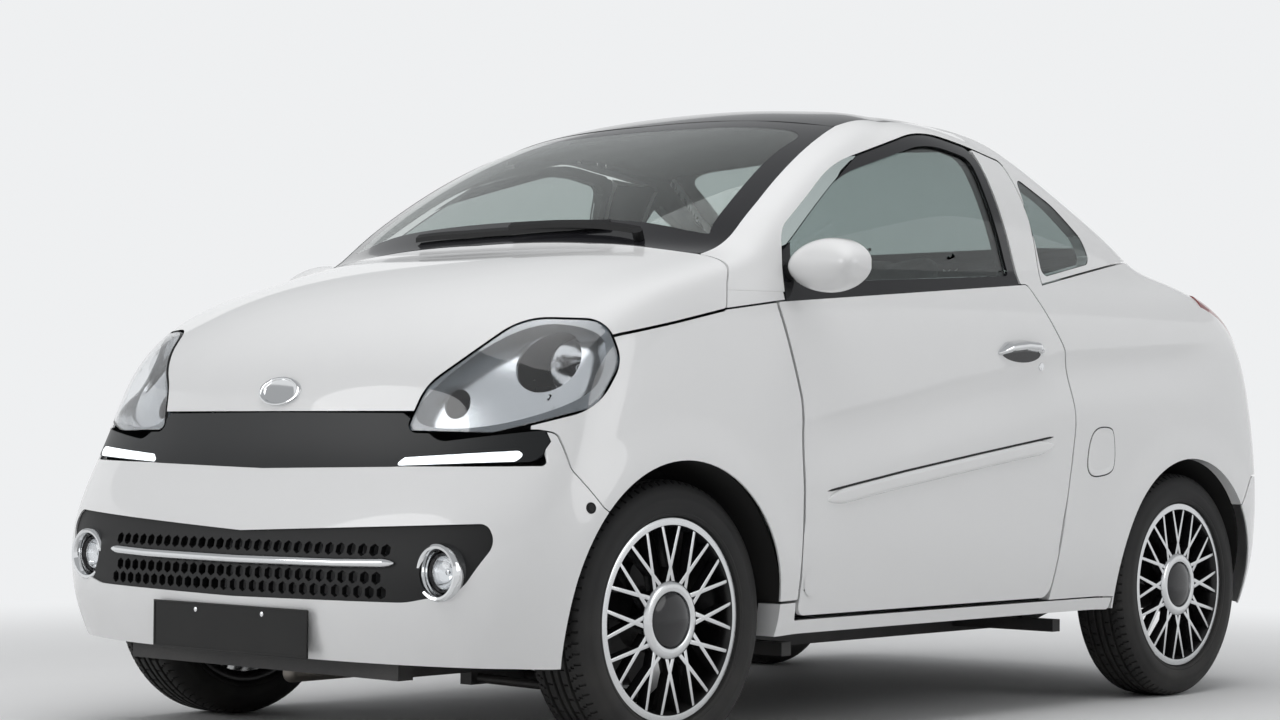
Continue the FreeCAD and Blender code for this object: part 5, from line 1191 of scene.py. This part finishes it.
def build_headlamps():
    """Behind each lens: a silver tray, two reflectors, bulbs and a rim."""
    def under_lens(name, near, far, edge):
        block = SKIN.slab(name, (ring("band") - 0.01, ring("bonnet") + 0.01),
                          (station(1.2), station(7.6)), near, far)
        cutter = prism("cutter", "corner", inset(HEADLAMP, edge), 900, 1600)
        boolean(block, cutter, "INTERSECT")
        remove(cutter)
        return block

    def tray(name):
        outer = under_lens(name, 7, 44, 5)
        hollow = under_lens("hollow", 2, 36, 9)
        boolean(outer, hollow, "DIFFERENCE")
        remove(hollow)
        for centre, radius in ((BIG_BOWL, 64), (SMALL_BOWL, 30)):
            hole = spun("hole", [(0, -90), (radius, -90), (radius, 200), (0, 200)], 64,
                        LAMP_AXIS, centre * MM)
            boolean(outer, hole, "DIFFERENCE")
            remove(hole)
        return outer
    both(tray, "headlamp_tray", "lamp_body", "body", 30, None)

    def bowl(centre, radius, deep):
        def make(name):
            profile = [(radius, 2), (radius - 2.5, 3), (radius - 4, 0)]
            for k in range(1, 9):
                share = 1 - k / 8
                profile.append(((radius - 4) * max(share, 0.12), -deep * (1 - share ** 2)))
            profile += [(0, -deep), (0, -deep - 4), (radius * 0.5, -deep - 4), (radius, -14),
                        (radius, 2)]
            return spun(name, profile, 64, LAMP_AXIS, centre * MM)
        return make
    both(bowl(BIG_BOWL, 60, 46), "headlamp_main_reflector", "reflector", "body",
         28, ["headlamp_units"])
    both(bowl(SMALL_BOWL, 27, 22), "headlamp_small_reflector", "chrome", "body", 28)

    def bulb(centre, radius, length):
        def make(name):
            profile = [(0, -46), (radius * 1.5, -46), (radius * 1.5, -38), (radius, -36),
                       (radius, -46 + length * 0.8), (radius * 0.8, -46 + length * 0.93),
                       (radius * 0.4, -46 + length), (0, -46 + length)]
            return spun(name, profile, 40, LAMP_AXIS, centre * MM)
        return make
    both(bulb(BIG_BOWL, 9, 40), "headlamp_bulb_shield", "chrome", "body", 40)
    both(bulb(SMALL_BOWL + LAMP_AXIS * 26, 12, 26), "headlamp_side_bulb", "lens", "body",
         40)

    def rim(name):
        outline = inset(HEADLAMP, 3.2)
        ring_piece = SKIN.slab(name, (ring("band") - 0.01, ring("bonnet") + 0.01),
                               (station(1.2), station(7.6)), 4.2, 7.5)
        outer = prism("cutter", "corner", outline, 900, 1600)
        boolean(ring_piece, outer, "INTERSECT")
        inner = prism("cutter", "corner", chaikin(inset(HEADLAMP, [8, 9, 10, 22, 30, 22, 9]), 3),
                      900, 1600)
        boolean(ring_piece, inner, "DIFFERENCE")
        remove(outer, inner)
        return fit_to_skin(ring_piece, 12)
    both(rim, "headlamp_grey_rim", "lens_rim", "body")


FRONT_FOG = Vector((552, -1463, 388))


def build_fog_lamps():
    """A deep bright ring, a dark collar, a reflector and a clear glass."""
    def make(profile, finish, name, slot, replaced=None):
        both(lambda n: spun(n, profile, 64, (0, -1, 0), FRONT_FOG * MM), name, finish, "body",
             32, replaced)
    make([(43.5, -40), (57, -40), (57.5, -6), (56, 2), (52, 6), (47, 5), (45, 2), (42, -6), (38, -18),
          (38, -40), (43.5, -40)], "chrome", "fog_lamp_ring", "lamp_bowl", ["fog_lamps"])
    make([(38, -14), (36, -12), (33, -16), (32, -36), (38, -36), (38, -14)], "gloss",
         "fog_lamp_collar", "trim_black")
    make([(32, -18), (26, -30), (16, -38), (6, -42), (0, -42), (0, -48), (32, -48), (32, -18)],
         "reflector", "fog_lamp_reflector", "lamp_bowl")
    make([(0, -12), (12, -13), (24, -15.5), (32, -19), (32, -21), (24, -17.5), (12, -15),
          (0, -14)], "lens", "fog_lamp_glass", "lamp_glass")
    make([(0, -42), (7, -42), (7, -30), (5, -27), (0, -26)], "chrome", "fog_lamp_bulb",
         "lamp_bowl")


def build_front_trim():
    """The bright grille bar."""
    line = [(-448, 404), (-300, 400), (0, 398), (300, 400), (448, 404)]
    bar = strip_on_skin("bright_grille_bar", "front", line, 10, 9, sink=3, steps=90, across=11,
                        power=2.4, taper=0.03)
    dress(bar, FINISHES["chrome"], "body", ["grille_bar"], 60)


TYRE_PROFILE = [
    # radius and place across the tread, from the inner bead round to the outer one
    (192.5, -62), (207.5, -66), (211, -72), (216, -74.5), (219, -74), (222, -75.6), (236, -77.4),
    (246, -77.5), (247, -76.9), (258, -75.2), (267, -71.5), (274, -66.5), (279.2, -60), (281.8, -53),
    (283.0, -44), (283.3, -37.5), (282.6, -36.5), (276.5, -35.5), (276.5, -29.5), (282.6, -28.5),
    (283.4, -27.5), (283.5, -14.5), (282.8, -13.5), (276.5, -12.5), (276.5, -6.5), (282.8, -5.5),
    (283.5, -4.5), (283.5, 4.5), (282.8, 5.5), (276.5, 6.5), (276.5, 12.5), (282.8, 13.5),
    (283.5, 14.5), (283.4, 27.5), (282.6, 28.5), (276.5, 29.5), (276.5, 35.5), (282.6, 36.5),
    (283.3, 37.5), (283.0, 44), (281.8, 53), (279.2, 60), (274, 66.5), (267, 71.5), (258, 75.2),
    (247, 76.9), (246, 77.5), (236, 77.4), (222, 75.6), (219, 74), (216, 74.5), (211, 72),
    (207.5, 61.5), (192.5, 57), (192.5, -62)]
TYRE_STEPS = 324
WHEEL_X = 656.5
FACE_X = 67.5


def build_tyre():
    """A tyre about the X axis at the origin, its grooves spun and its sipes cut in."""
    tyre = spun("tyre", TYRE_PROFILE, TYRE_STEPS, (1, 0, 0))
    activate(tyre)
    bpy.ops.object.mode_set(mode="EDIT")
    bpy.ops.mesh.select_all(action="DESELECT")
    bpy.ops.object.mode_set(mode="OBJECT")
    step = 2 * math.pi / TYRE_STEPS
    for face in tyre.data.polygons:
        x, y, z = face.center / MM
        row = int((math.atan2(z, y) % (2 * math.pi)) / step + 0.5)
        radius = math.hypot(y, z)
        shoulder = 38 < abs(x) < 68 and radius > 268
        rib = 14.5 < abs(x) < 27.5 and radius > 282
        lag = int(abs(x) / 14)
        face.select = (shoulder and (row + lag) % 4 == 0) or (rib and (row + 2) % 6 == 0)
    bpy.ops.object.mode_set(mode="EDIT")
    bpy.ops.mesh.inset(thickness=0.0011, depth=-0.0035, use_boundary=True)
    bpy.ops.object.mode_set(mode="OBJECT")
    activate(tyre)
    bpy.ops.object.shade_smooth_by_angle(angle=math.radians(32))
    return tyre


SPOKES = 12
SPOKE_IN, SPOKE_OUT = 74.0, 191.0


def build_rim():
    """A cast rim about the X axis at the origin: barrel, crossed spokes and ring."""
    barrel = spun("barrel", [(192, -62), (206.8, -66), (206.8, -70), (198, -70.5), (184, -64),
                             (182, -30), (181, 20), (183, 50), (188.5, 61), (190.5, 65.5),
                             (192, FACE_X), (204.5, FACE_X + 0.6), (206.8, FACE_X - 0.6),
                             (206.8, 61.8), (192, 57), (192, -62)], 144, (1, 0, 0))
    parts = [barrel]
    pitch = 2 * math.pi / SPOKES
    for k in range(SPOKES):
        for lean in (-1, 1):
            a0, a1 = k * pitch - lean * 0.27 * pitch, k * pitch + lean * 0.26 * pitch
            start = Vector((0, math.cos(a0), math.sin(a0))) * SPOKE_IN * MM
            end = Vector((0, math.cos(a1), math.sin(a1))) * SPOKE_OUT * MM
            bpy.ops.mesh.primitive_cube_add(size=1)
            spoke = bpy.context.object
            way = (end - start).normalized()
            side = way.cross(Vector((1, 0, 0)))
            for vertex in spoke.data.vertices:
                u, v, w = vertex.co + Vector((0.5, 0, 0.5))
                centre = start.lerp(end, u)
                width = blend(9.6, 7.4, u) * (1.0 if w > 0.5 else 1.25)
                face = blend(64.5, 66.0, u) if w > 0.5 else blend(44, 40, u)
                vertex.co = centre + side * (v * width * MM) + Vector((face * MM, 0, 0))
            bevel = spoke.modifiers.new("edge", "BEVEL")
            bevel.width, bevel.segments, bevel.limit_method = 0.0009, 2, "ANGLE"
            apply_modifiers(spoke)
            bpy.ops.object.mode_set(mode="EDIT")
            bpy.ops.mesh.select_all(action="SELECT")
            bpy.ops.mesh.normals_make_consistent(inside=False)
            bpy.ops.object.mode_set(mode="OBJECT")
            parts.append(spoke)
    ring = spun("ring", [(54, 20), (73, 20), (79, 52), (80.5, 60), (79.5, 64), (76, 67.5),
                         (70, 69.5), (62, 69.8), (58.2, 68.2), (57, 64), (55, 62), (54, 20)],
                96, (1, 0, 0))
    parts.append(ring)
    rim = joined("rim", parts)
    activate(rim)
    bpy.ops.object.shade_smooth_by_angle(angle=math.radians(35))
    rim.data.materials.clear()
    rim.data.materials.append(FINISHES["machined"])
    rim.data.materials.append(FINISHES["pocket"])
    for face in rim.data.polygons:
        x, y, z = face.center / MM
        radius = math.hypot(y, z)
        bright = (face.normal.x > 0.8 and x > 60) or (54 < radius < 82 and x > 58)
        face.material_index = 0 if bright else 1
    return rim


def build_cap():
    """The domed hub cap."""
    cap = spun("cap", [(0, 74.5), (16, 74.1), (32, 72.7), (46, 70), (53.5, 67), (55, 64),
                       (55, 56), (0, 56)], 96, (1, 0, 0))
    activate(cap)
    bpy.ops.object.shade_smooth_by_angle(angle=math.radians(35))
    cap.data.materials.append(FINISHES["gloss"])
    return cap


def build_wheels():
    tyre, rim, cap = build_tyre(), build_rim(), build_cap()
    for end, axle in (("front", FRONT_AXLE_Y), ("rear", REAR_AXLE_Y)):
        for side, sign in SIDES:
            name = f"{end}_{side}"
            for source, kind, slot in ((tyre, "tyre", "tyre"), (rim, "rim", "alloy"),
                                       (cap, "rim", "alloy")):
                label = {"tyre": "tyre_tread", "rim": "alloy_rim", "cap": "hub_cap"}[source.name]
                piece = copy_of(source, f"{label}_{name}")
                piece.data.transform(Matrix.Translation((WHEEL_X * MM, axle * MM, AXLE_Z * MM)))
                if sign < 0:
                    piece.data.transform(Matrix.Scale(-1, 4, (1, 0, 0)))
                    piece.data.flip_normals()
                replaced = [] if source is cap else [f"{kind}_{name}"]
                dress(piece, FINISHES["tyre"] if source is tyre else None, "wheel_" + name,
                      replaced)
    remove(tyre, rim, cap)


SEAT_CAP = 0.024


def swell(obj, cap=SEAT_CAP, pressure=4.0):
    """Lets a closed form swell as stuffed cloth does, by no more than the cap."""
    remesh = obj.modifiers.new("even mesh", "REMESH")
    remesh.mode, remesh.voxel_size = "VOXEL", 0.006
    apply_modifiers(obj)
    start = np.array([v.co for v in obj.data.vertices])
    scene = bpy.context.scene
    cloth = obj.modifiers.new("stuffing", "CLOTH")
    cloth.settings.quality = 5
    cloth.settings.use_pressure = True
    cloth.settings.uniform_pressure_force = pressure
    cloth.settings.effector_weights.gravity = 0.0
    cloth.point_cache.frame_start, cloth.point_cache.frame_end = 1, 20
    for number in range(1, 21):
        scene.frame_set(number)
    apply_modifiers(obj)
    scene.frame_set(1)
    moved = np.array([v.co for v in obj.data.vertices]) - start
    length = np.linalg.norm(moved, axis=1, keepdims=True)
    moved *= np.minimum(1.0, cap / np.maximum(length, 1e-9))
    obj.data.vertices.foreach_set("co", (start + moved).ravel())
    obj.data.update()
    soft = obj.modifiers.new("smooth", "SMOOTH")
    soft.factor, soft.iterations = 0.5, 6
    return apply_modifiers(obj)


def bevelled_box(name, size, bevel, lean, origin):
    """A box with rounded edges about its lower front middle, leant back and put in place."""
    bpy.ops.mesh.primitive_cube_add(size=1)
    block = bpy.context.object
    block.name = block.data.name = name
    edge = block.modifiers.new("edge", "BEVEL")
    for vertex in block.data.vertices:
        x, y, z = vertex.co
        vertex.co = Vector((x * size[0], (y + 0.5) * size[1], (z + 0.5) * size[2])) * MM
    edge.width, edge.segments = bevel * MM, 5
    apply_modifiers(block)
    block.data.transform(Matrix.Translation(Vector(origin) * MM)
                         @ Matrix.Rotation(math.radians(-lean), 4, "X"))
    return block


def seat_parts():
    """The left seat's cushion, back, side bolsters and headrest before they swell."""
    parts = {
        "seat_cushion": [((330, 478, 92), 24, 0, (300, -292, 336)),
                         ((62, 470, 118), 24, 0, (110, -288, 336)),
                         ((62, 470, 118), 24, 0, (490, -288, 336))],
        "seat_back": [((330, 62, 500), 24, 16, (300, 138, 440)),
                      ((66, 84, 470), 26, 16, (108, 122, 446)),
                      ((66, 84, 470), 26, 16, (492, 122, 446))],
        "headrest": [((226, 62, 158), 24, 12, (300, 306, 950))],
    }
    made = {}
    for name, blocks in parts.items():
        pieces = [bevelled_box(f"{name}_{k}", *block) for k, block in enumerate(blocks)]
        made[name] = joined(name, pieces)
    return made


def build_seats():
    """Stuffed seats on plain frames."""
    for name, part in seat_parts().items():
        swell(part)
        part.name = part.data.name = name + "_left"
        for side, piece in (("left", part), ("right", mirrored(part, name + "_right"))):
            replaced = ["seats"] if name == "seat_cushion" and side == "left" else ()
            dress(piece, FINISHES["cloth"], "body", replaced, 60)
    for side, sign in SIDES:
        frame_parts = [bevelled_box("base", (356, 416, 98), 6, 0, (sign * 300, -238, 232.5))]
        for x in (-52, 52):
            frame_parts.append(spun("post", [(0, 0), (6, 0), (6, 90), (0, 90)], 20,
                                    (0, math.sin(math.radians(14)), math.cos(math.radians(14))),
                                    Vector((sign * 300 + x, 300, 890)) * MM))
        dress(joined(f"seat_frame_{side}", frame_parts), FINISHES["cabin"], "body",
              smooth=35)


WHEEL_CENTRE = Vector((300, -400 + 62 * math.cos(math.radians(24)),
                       860 + 62 * math.sin(math.radians(24))))
COLUMN_AXIS = Vector((0, math.cos(math.radians(24)), math.sin(math.radians(24))))


def build_steering_wheel():
    """A leather rim with flat spokes and a padded boss."""
    across = Vector((1, 0, 0))
    up = across.cross(COLUMN_AXIS) * -1
    turned = Matrix((across, up, COLUMN_AXIS)).transposed().to_4x4()
    place = Matrix.Translation(WHEEL_CENTRE * MM) @ turned
    bpy.ops.mesh.primitive_torus_add(major_radius=0.178, minor_radius=0.0138,
                                     major_segments=128, minor_segments=20)
    rim = bpy.context.object
    rim.data.transform(place)
    pieces = [rim]
    for angle in (0, 180, 270):
        a = math.radians(angle)
        way = across * math.cos(a) + up * math.sin(a)
        side = COLUMN_AXIS.cross(way)
        bpy.ops.mesh.primitive_cube_add(size=1)
        spoke = bpy.context.object
        for vertex in spoke.data.vertices:
            u, v, w = vertex.co + Vector((0.5, 0, 0))
            vertex.co = (WHEEL_CENTRE + way * blend(40, 172, u)
                         + side * (v * blend(44, 24, u)) + COLUMN_AXIS * (w * 12 - 5)) * MM
        edge = spoke.modifiers.new("edge", "BEVEL")
        edge.width, edge.segments = 0.004, 4
        pieces.append(apply_modifiers(spoke))
    wheel = joined("steering_wheel_rim", pieces)
    dress(wheel, FINISHES["leather"], "steering", ["steering_wheel"], 40)
    boss = spun("steering_wheel_boss", [(0, 7), (30, 6), (50, 3), (59, -3), (62, -12), (60, -32),
                                        (14, -34), (12, -80), (0, -80)], 72, COLUMN_AXIS,
                WHEEL_CENTRE * MM)
    dress(boss, FINISHES["cabin"], "steering", smooth=35)


def build_tail_lamps():
    """Red lenses fitted to the skin."""
    piece = fit_to_skin(node_copy("tail_lamps", "tail_lamp_lenses"), 12)
    dress(piece, FINISHES["red"], "body", ["tail_lamps"])


CAMERA_AT = (4.300, -5.067, 0.652)
CAMERA_TURN, CAMERA_TILT, CAMERA_ROLL = 41.85, 1.64, 0.36
CAMERA_LENS = 75.66
# Wide enough that a camera drawn back to frame the car with every door open stays inside it.
FLOOR_PROFILE = [(0, 0), (4000, 0), (33000, 0), (40500, 360), (46500, 1800), (51000, 5100),
                 (53400, 10200), (54000, 19500)]


def fade_to_pale(made):
    """Away from the car, what a camera sees of the floor turns an even pale tone."""
    tree = made.node_tree
    shader, out = tree.nodes["Principled BSDF"], tree.nodes["Material Output"]
    rays = add(tree, "ShaderNodeLightPath")
    seen = add(tree, "ShaderNodeMath", [(0, rays.outputs["Is Camera Ray"]),
                                        (1, rays.outputs["Is Transmission Ray"])],
               operation="MAXIMUM")
    seen = add(tree, "ShaderNodeMath", [(0, seen.outputs[0]), (1, rays.outputs["Is Glossy Ray"])],
               operation="MAXIMUM")
    place = add(tree, "ShaderNodeTexCoord").outputs["Object"]
    away = add(tree, "ShaderNodeVectorMath", [(0, place)], operation="LENGTH").outputs["Value"]
    far = add(tree, "ShaderNodeMapRange", [("Value", away)], in_1=1.9, in_2=4.6)
    far.interpolation_type = "SMOOTHSTEP"
    share = add(tree, "ShaderNodeMath", [(0, seen.outputs[0]), (1, far.outputs[0])],
                operation="MULTIPLY")
    pale = add(tree, "ShaderNodeEmission", in_0=(0.86, 0.87, 0.88, 1), in_1=1.0)
    mixed = add(tree, "ShaderNodeMixShader", [(0, share.outputs[0]), (1, shader.outputs[0]),
                                              (2, pale.outputs[0])])
    tree.links.new(mixed.outputs[0], out.inputs["Surface"])


def build_stage(stage):
    floor = spun("studio_floor", FLOOR_PROFILE, 128, (0, 0, 1))
    activate(floor)
    bpy.ops.object.mode_set(mode="EDIT")
    bpy.ops.mesh.select_all(action="SELECT")
    bpy.ops.mesh.normals_make_consistent(inside=True)
    bpy.ops.object.mode_set(mode="OBJECT")
    bpy.ops.object.shade_smooth()
    pale_floor = material(
        "Pale studio floor", tuple(stage.floor_colour), second=(0.70, 0.70, 0.70), rough=0.7,
        grain=120, mottle=1.5, bump=0.05, depth=0.001, dust=0.0)
    fade_to_pale(pale_floor)
    floor.data.materials.append(pale_floor)
    world = bpy.data.worlds.new("Pale studio")
    bpy.context.scene.world = world
    world.use_nodes = True
    tree = world.node_tree
    tree.nodes.clear()
    rays = add(tree, "ShaderNodeLightPath")
    seen = add(tree, "ShaderNodeMath", [(0, rays.outputs["Is Camera Ray"]),
                                        (1, rays.outputs["Is Transmission Ray"])],
               operation="MAXIMUM")
    soft = add(tree, "ShaderNodeBackground", in_0=(0.96, 0.98, 1, 1), in_1=stage.sky_light)
    pale = add(tree, "ShaderNodeBackground", in_0=(0.86, 0.87, 0.88, 1), in_1=1.0)
    mixed = add(tree, "ShaderNodeMixShader", [(0, seen.outputs[0]), (1, soft.outputs[0]),
                                              (2, pale.outputs[0])])
    add(tree, "ShaderNodeOutputWorld", [(0, mixed.outputs[0])])
    for name, place, aim, size, power in (
            ("overhead_softbox", (0.5, -1.0, 5.5), (0, 0, 0.4), 6.0, 200),
            ("front_softbox", (-3.5, -7.0, 3.0), (0, -0.6, 0.6), 4.0, 90),
            ("side_softbox", (7.0, 1.5, 3.2), (0, 0, 0.7), 4.0, 60)):
        bpy.ops.object.light_add(type="AREA", location=place)
        lamp = bpy.context.object
        lamp.name = name
        lamp.data.shape = "DISK"
        lamp.data.size = size
        lamp.data.energy = power * stage.lamp_level
        lamp.visible_glossy = name != "overhead_softbox"
        lamp.rotation_euler = (Vector(aim) - Vector(place)).to_track_quat("-Z", "Y").to_euler()
    turn, tilt, roll = (math.radians(a) for a in (CAMERA_TURN, CAMERA_TILT, CAMERA_ROLL))
    ahead = Vector((-math.sin(turn) * math.cos(tilt), math.cos(turn) * math.cos(tilt),
                    math.sin(tilt)))
    right = Vector((math.cos(turn), math.sin(turn), 0))
    up = right.cross(ahead).normalized()
    right, up = (right * math.cos(roll) + up * math.sin(roll),
                 up * math.cos(roll) - right * math.sin(roll))
    camera = bpy.data.objects.new("camera", bpy.data.cameras.new("camera"))
    bpy.context.scene.collection.objects.link(camera)
    turned = Matrix((right, up, -ahead)).transposed().to_4x4()
    camera.matrix_world = Matrix.Translation(CAMERA_AT) @ turned
    camera.data.lens = CAMERA_LENS
    camera.data.sensor_width = 36.0
    camera.data.clip_end = 100
    bpy.context.scene.camera = camera
    bpy.context.scene.view_settings.view_transform = "Standard"


# The add-on
class LooksSettings(bpy.types.PropertyGroup):
    """Colours that a user would change."""
    paint_colour: bpy.props.FloatVectorProperty(
        name="Paint colour", description="Colour of the body panels", subtype="COLOR",
        default=(0.80, 0.80, 0.80), min=0, max=1)


class StageSettings(bpy.types.PropertyGroup):
    """The studio's floor and lamps."""
    floor_colour: bpy.props.FloatVectorProperty(
        name="Floor colour", description="Colour of the studio floor", subtype="COLOR",
        default=(0.74, 0.74, 0.74), min=0, max=1)
    sky_light: bpy.props.FloatProperty(
        name="Sky light", description="Strength of the even light from all round",
        default=0.45, min=0, max=3)
    lamp_level: bpy.props.FloatProperty(
        name="Lamp level", description="Share of the softboxes' full power", default=1.0,
        min=0, max=3)


class MICROCAR_OT_finishes(bpy.types.Operator):
    """Make the finishes and their shared node groups"""
    bl_idname = "microcar.finishes"
    bl_label = "Finishes"

    def execute(self, context):
        make_finishes(context.scene.microcar_looks)
        build_carried()
        return {"FINISHED"}


class MICROCAR_OT_panels(bpy.types.Operator):
    """Lay the painted and black panels on the smooth skin"""
    bl_idname = "microcar.panels"
    bl_label = "Body panels"

    def execute(self, context):
        build_panels()
        build_hinge_arms()
        return {"FINISHED"}


class MICROCAR_OT_windows(bpy.types.Operator):
    """Make the panes with their black bands, and the lamp lenses"""
    bl_idname = "microcar.windows"
    bl_label = "Windows"

    def execute(self, context):
        build_windows()
        return {"FINISHED"}


class MICROCAR_OT_trim(bpy.types.Operator):
    """Make the door trim, mirrors, badge, caps, flap, plate frames and pillar feet"""
    bl_idname = "microcar.trim"
    bl_label = "Outside trim"

    def execute(self, context):
        build_pillar_feet()
        build_door_trim()
        build_mirrors()
        build_small_trim()
        build_front_trim()
        return {"FINISHED"}


class MICROCAR_OT_lamps(bpy.types.Operator):
    """Make the insides of the headlamps and the fog lamps"""
    bl_idname = "microcar.lamps"
    bl_label = "Lamps"

    def execute(self, context):
        build_headlamps()
        build_fog_lamps()
        build_tail_lamps()
        return {"FINISHED"}


class MICROCAR_OT_wheels(bpy.types.Operator):
    """Make the four tyres, rims and hub caps"""
    bl_idname = "microcar.wheels"
    bl_label = "Wheels"

    def execute(self, context):
        build_wheels()
        return {"FINISHED"}


class MICROCAR_OT_cabin(bpy.types.Operator):
    """Make the stuffed seats, their frames and the steering wheel"""
    bl_idname = "microcar.cabin"
    bl_label = "Cabin"

    def execute(self, context):
        build_seats()
        build_steering_wheel()
        return {"FINISHED"}


class MICROCAR_OT_stage(bpy.types.Operator):
    """Make the floor, the lamps and the camera"""
    bl_idname = "microcar.stage"
    bl_label = "Studio"

    def execute(self, context):
        build_stage(context.scene.microcar_stage)
        return {"FINISHED"}


OPERATORS = (MICROCAR_OT_finishes, MICROCAR_OT_panels, MICROCAR_OT_windows, MICROCAR_OT_trim,
             MICROCAR_OT_lamps, MICROCAR_OT_wheels, MICROCAR_OT_cabin, MICROCAR_OT_stage)


class MICROCAR_PT_panel(bpy.types.Panel):
    """Lists the steps and the settings"""
    bl_label = "Microcar"
    bl_idname = "MICROCAR_PT_panel"
    bl_space_type = "VIEW_3D"
    bl_region_type = "UI"
    bl_category = "Microcar"

    def draw(self, context):
        for group in (context.scene.microcar_looks, context.scene.microcar_stage):
            for key in group.__annotations__:
                self.layout.prop(group, key)
        for operator in OPERATORS:
            self.layout.operator(operator.bl_idname)


CLASSES = (LooksSettings, StageSettings) + OPERATORS + (MICROCAR_PT_panel,)


def register():
    for cls in CLASSES:
        bpy.utils.register_class(cls)
    bpy.types.Scene.microcar_looks = bpy.props.PointerProperty(type=LooksSettings)
    bpy.types.Scene.microcar_stage = bpy.props.PointerProperty(type=StageSettings)


def unregister():
    del bpy.types.Scene.microcar_looks
    del bpy.types.Scene.microcar_stage
    for cls in reversed(CLASSES):
        bpy.utils.unregister_class(cls)


def main():
    register()
    deselect()
    for operator in OPERATORS:
        group, name = operator.bl_idname.split(".")
        getattr(getattr(bpy.ops, group), name)()
    deselect()
    bpy.context.view_layer.update()


if __name__ == "__main__":
    main()
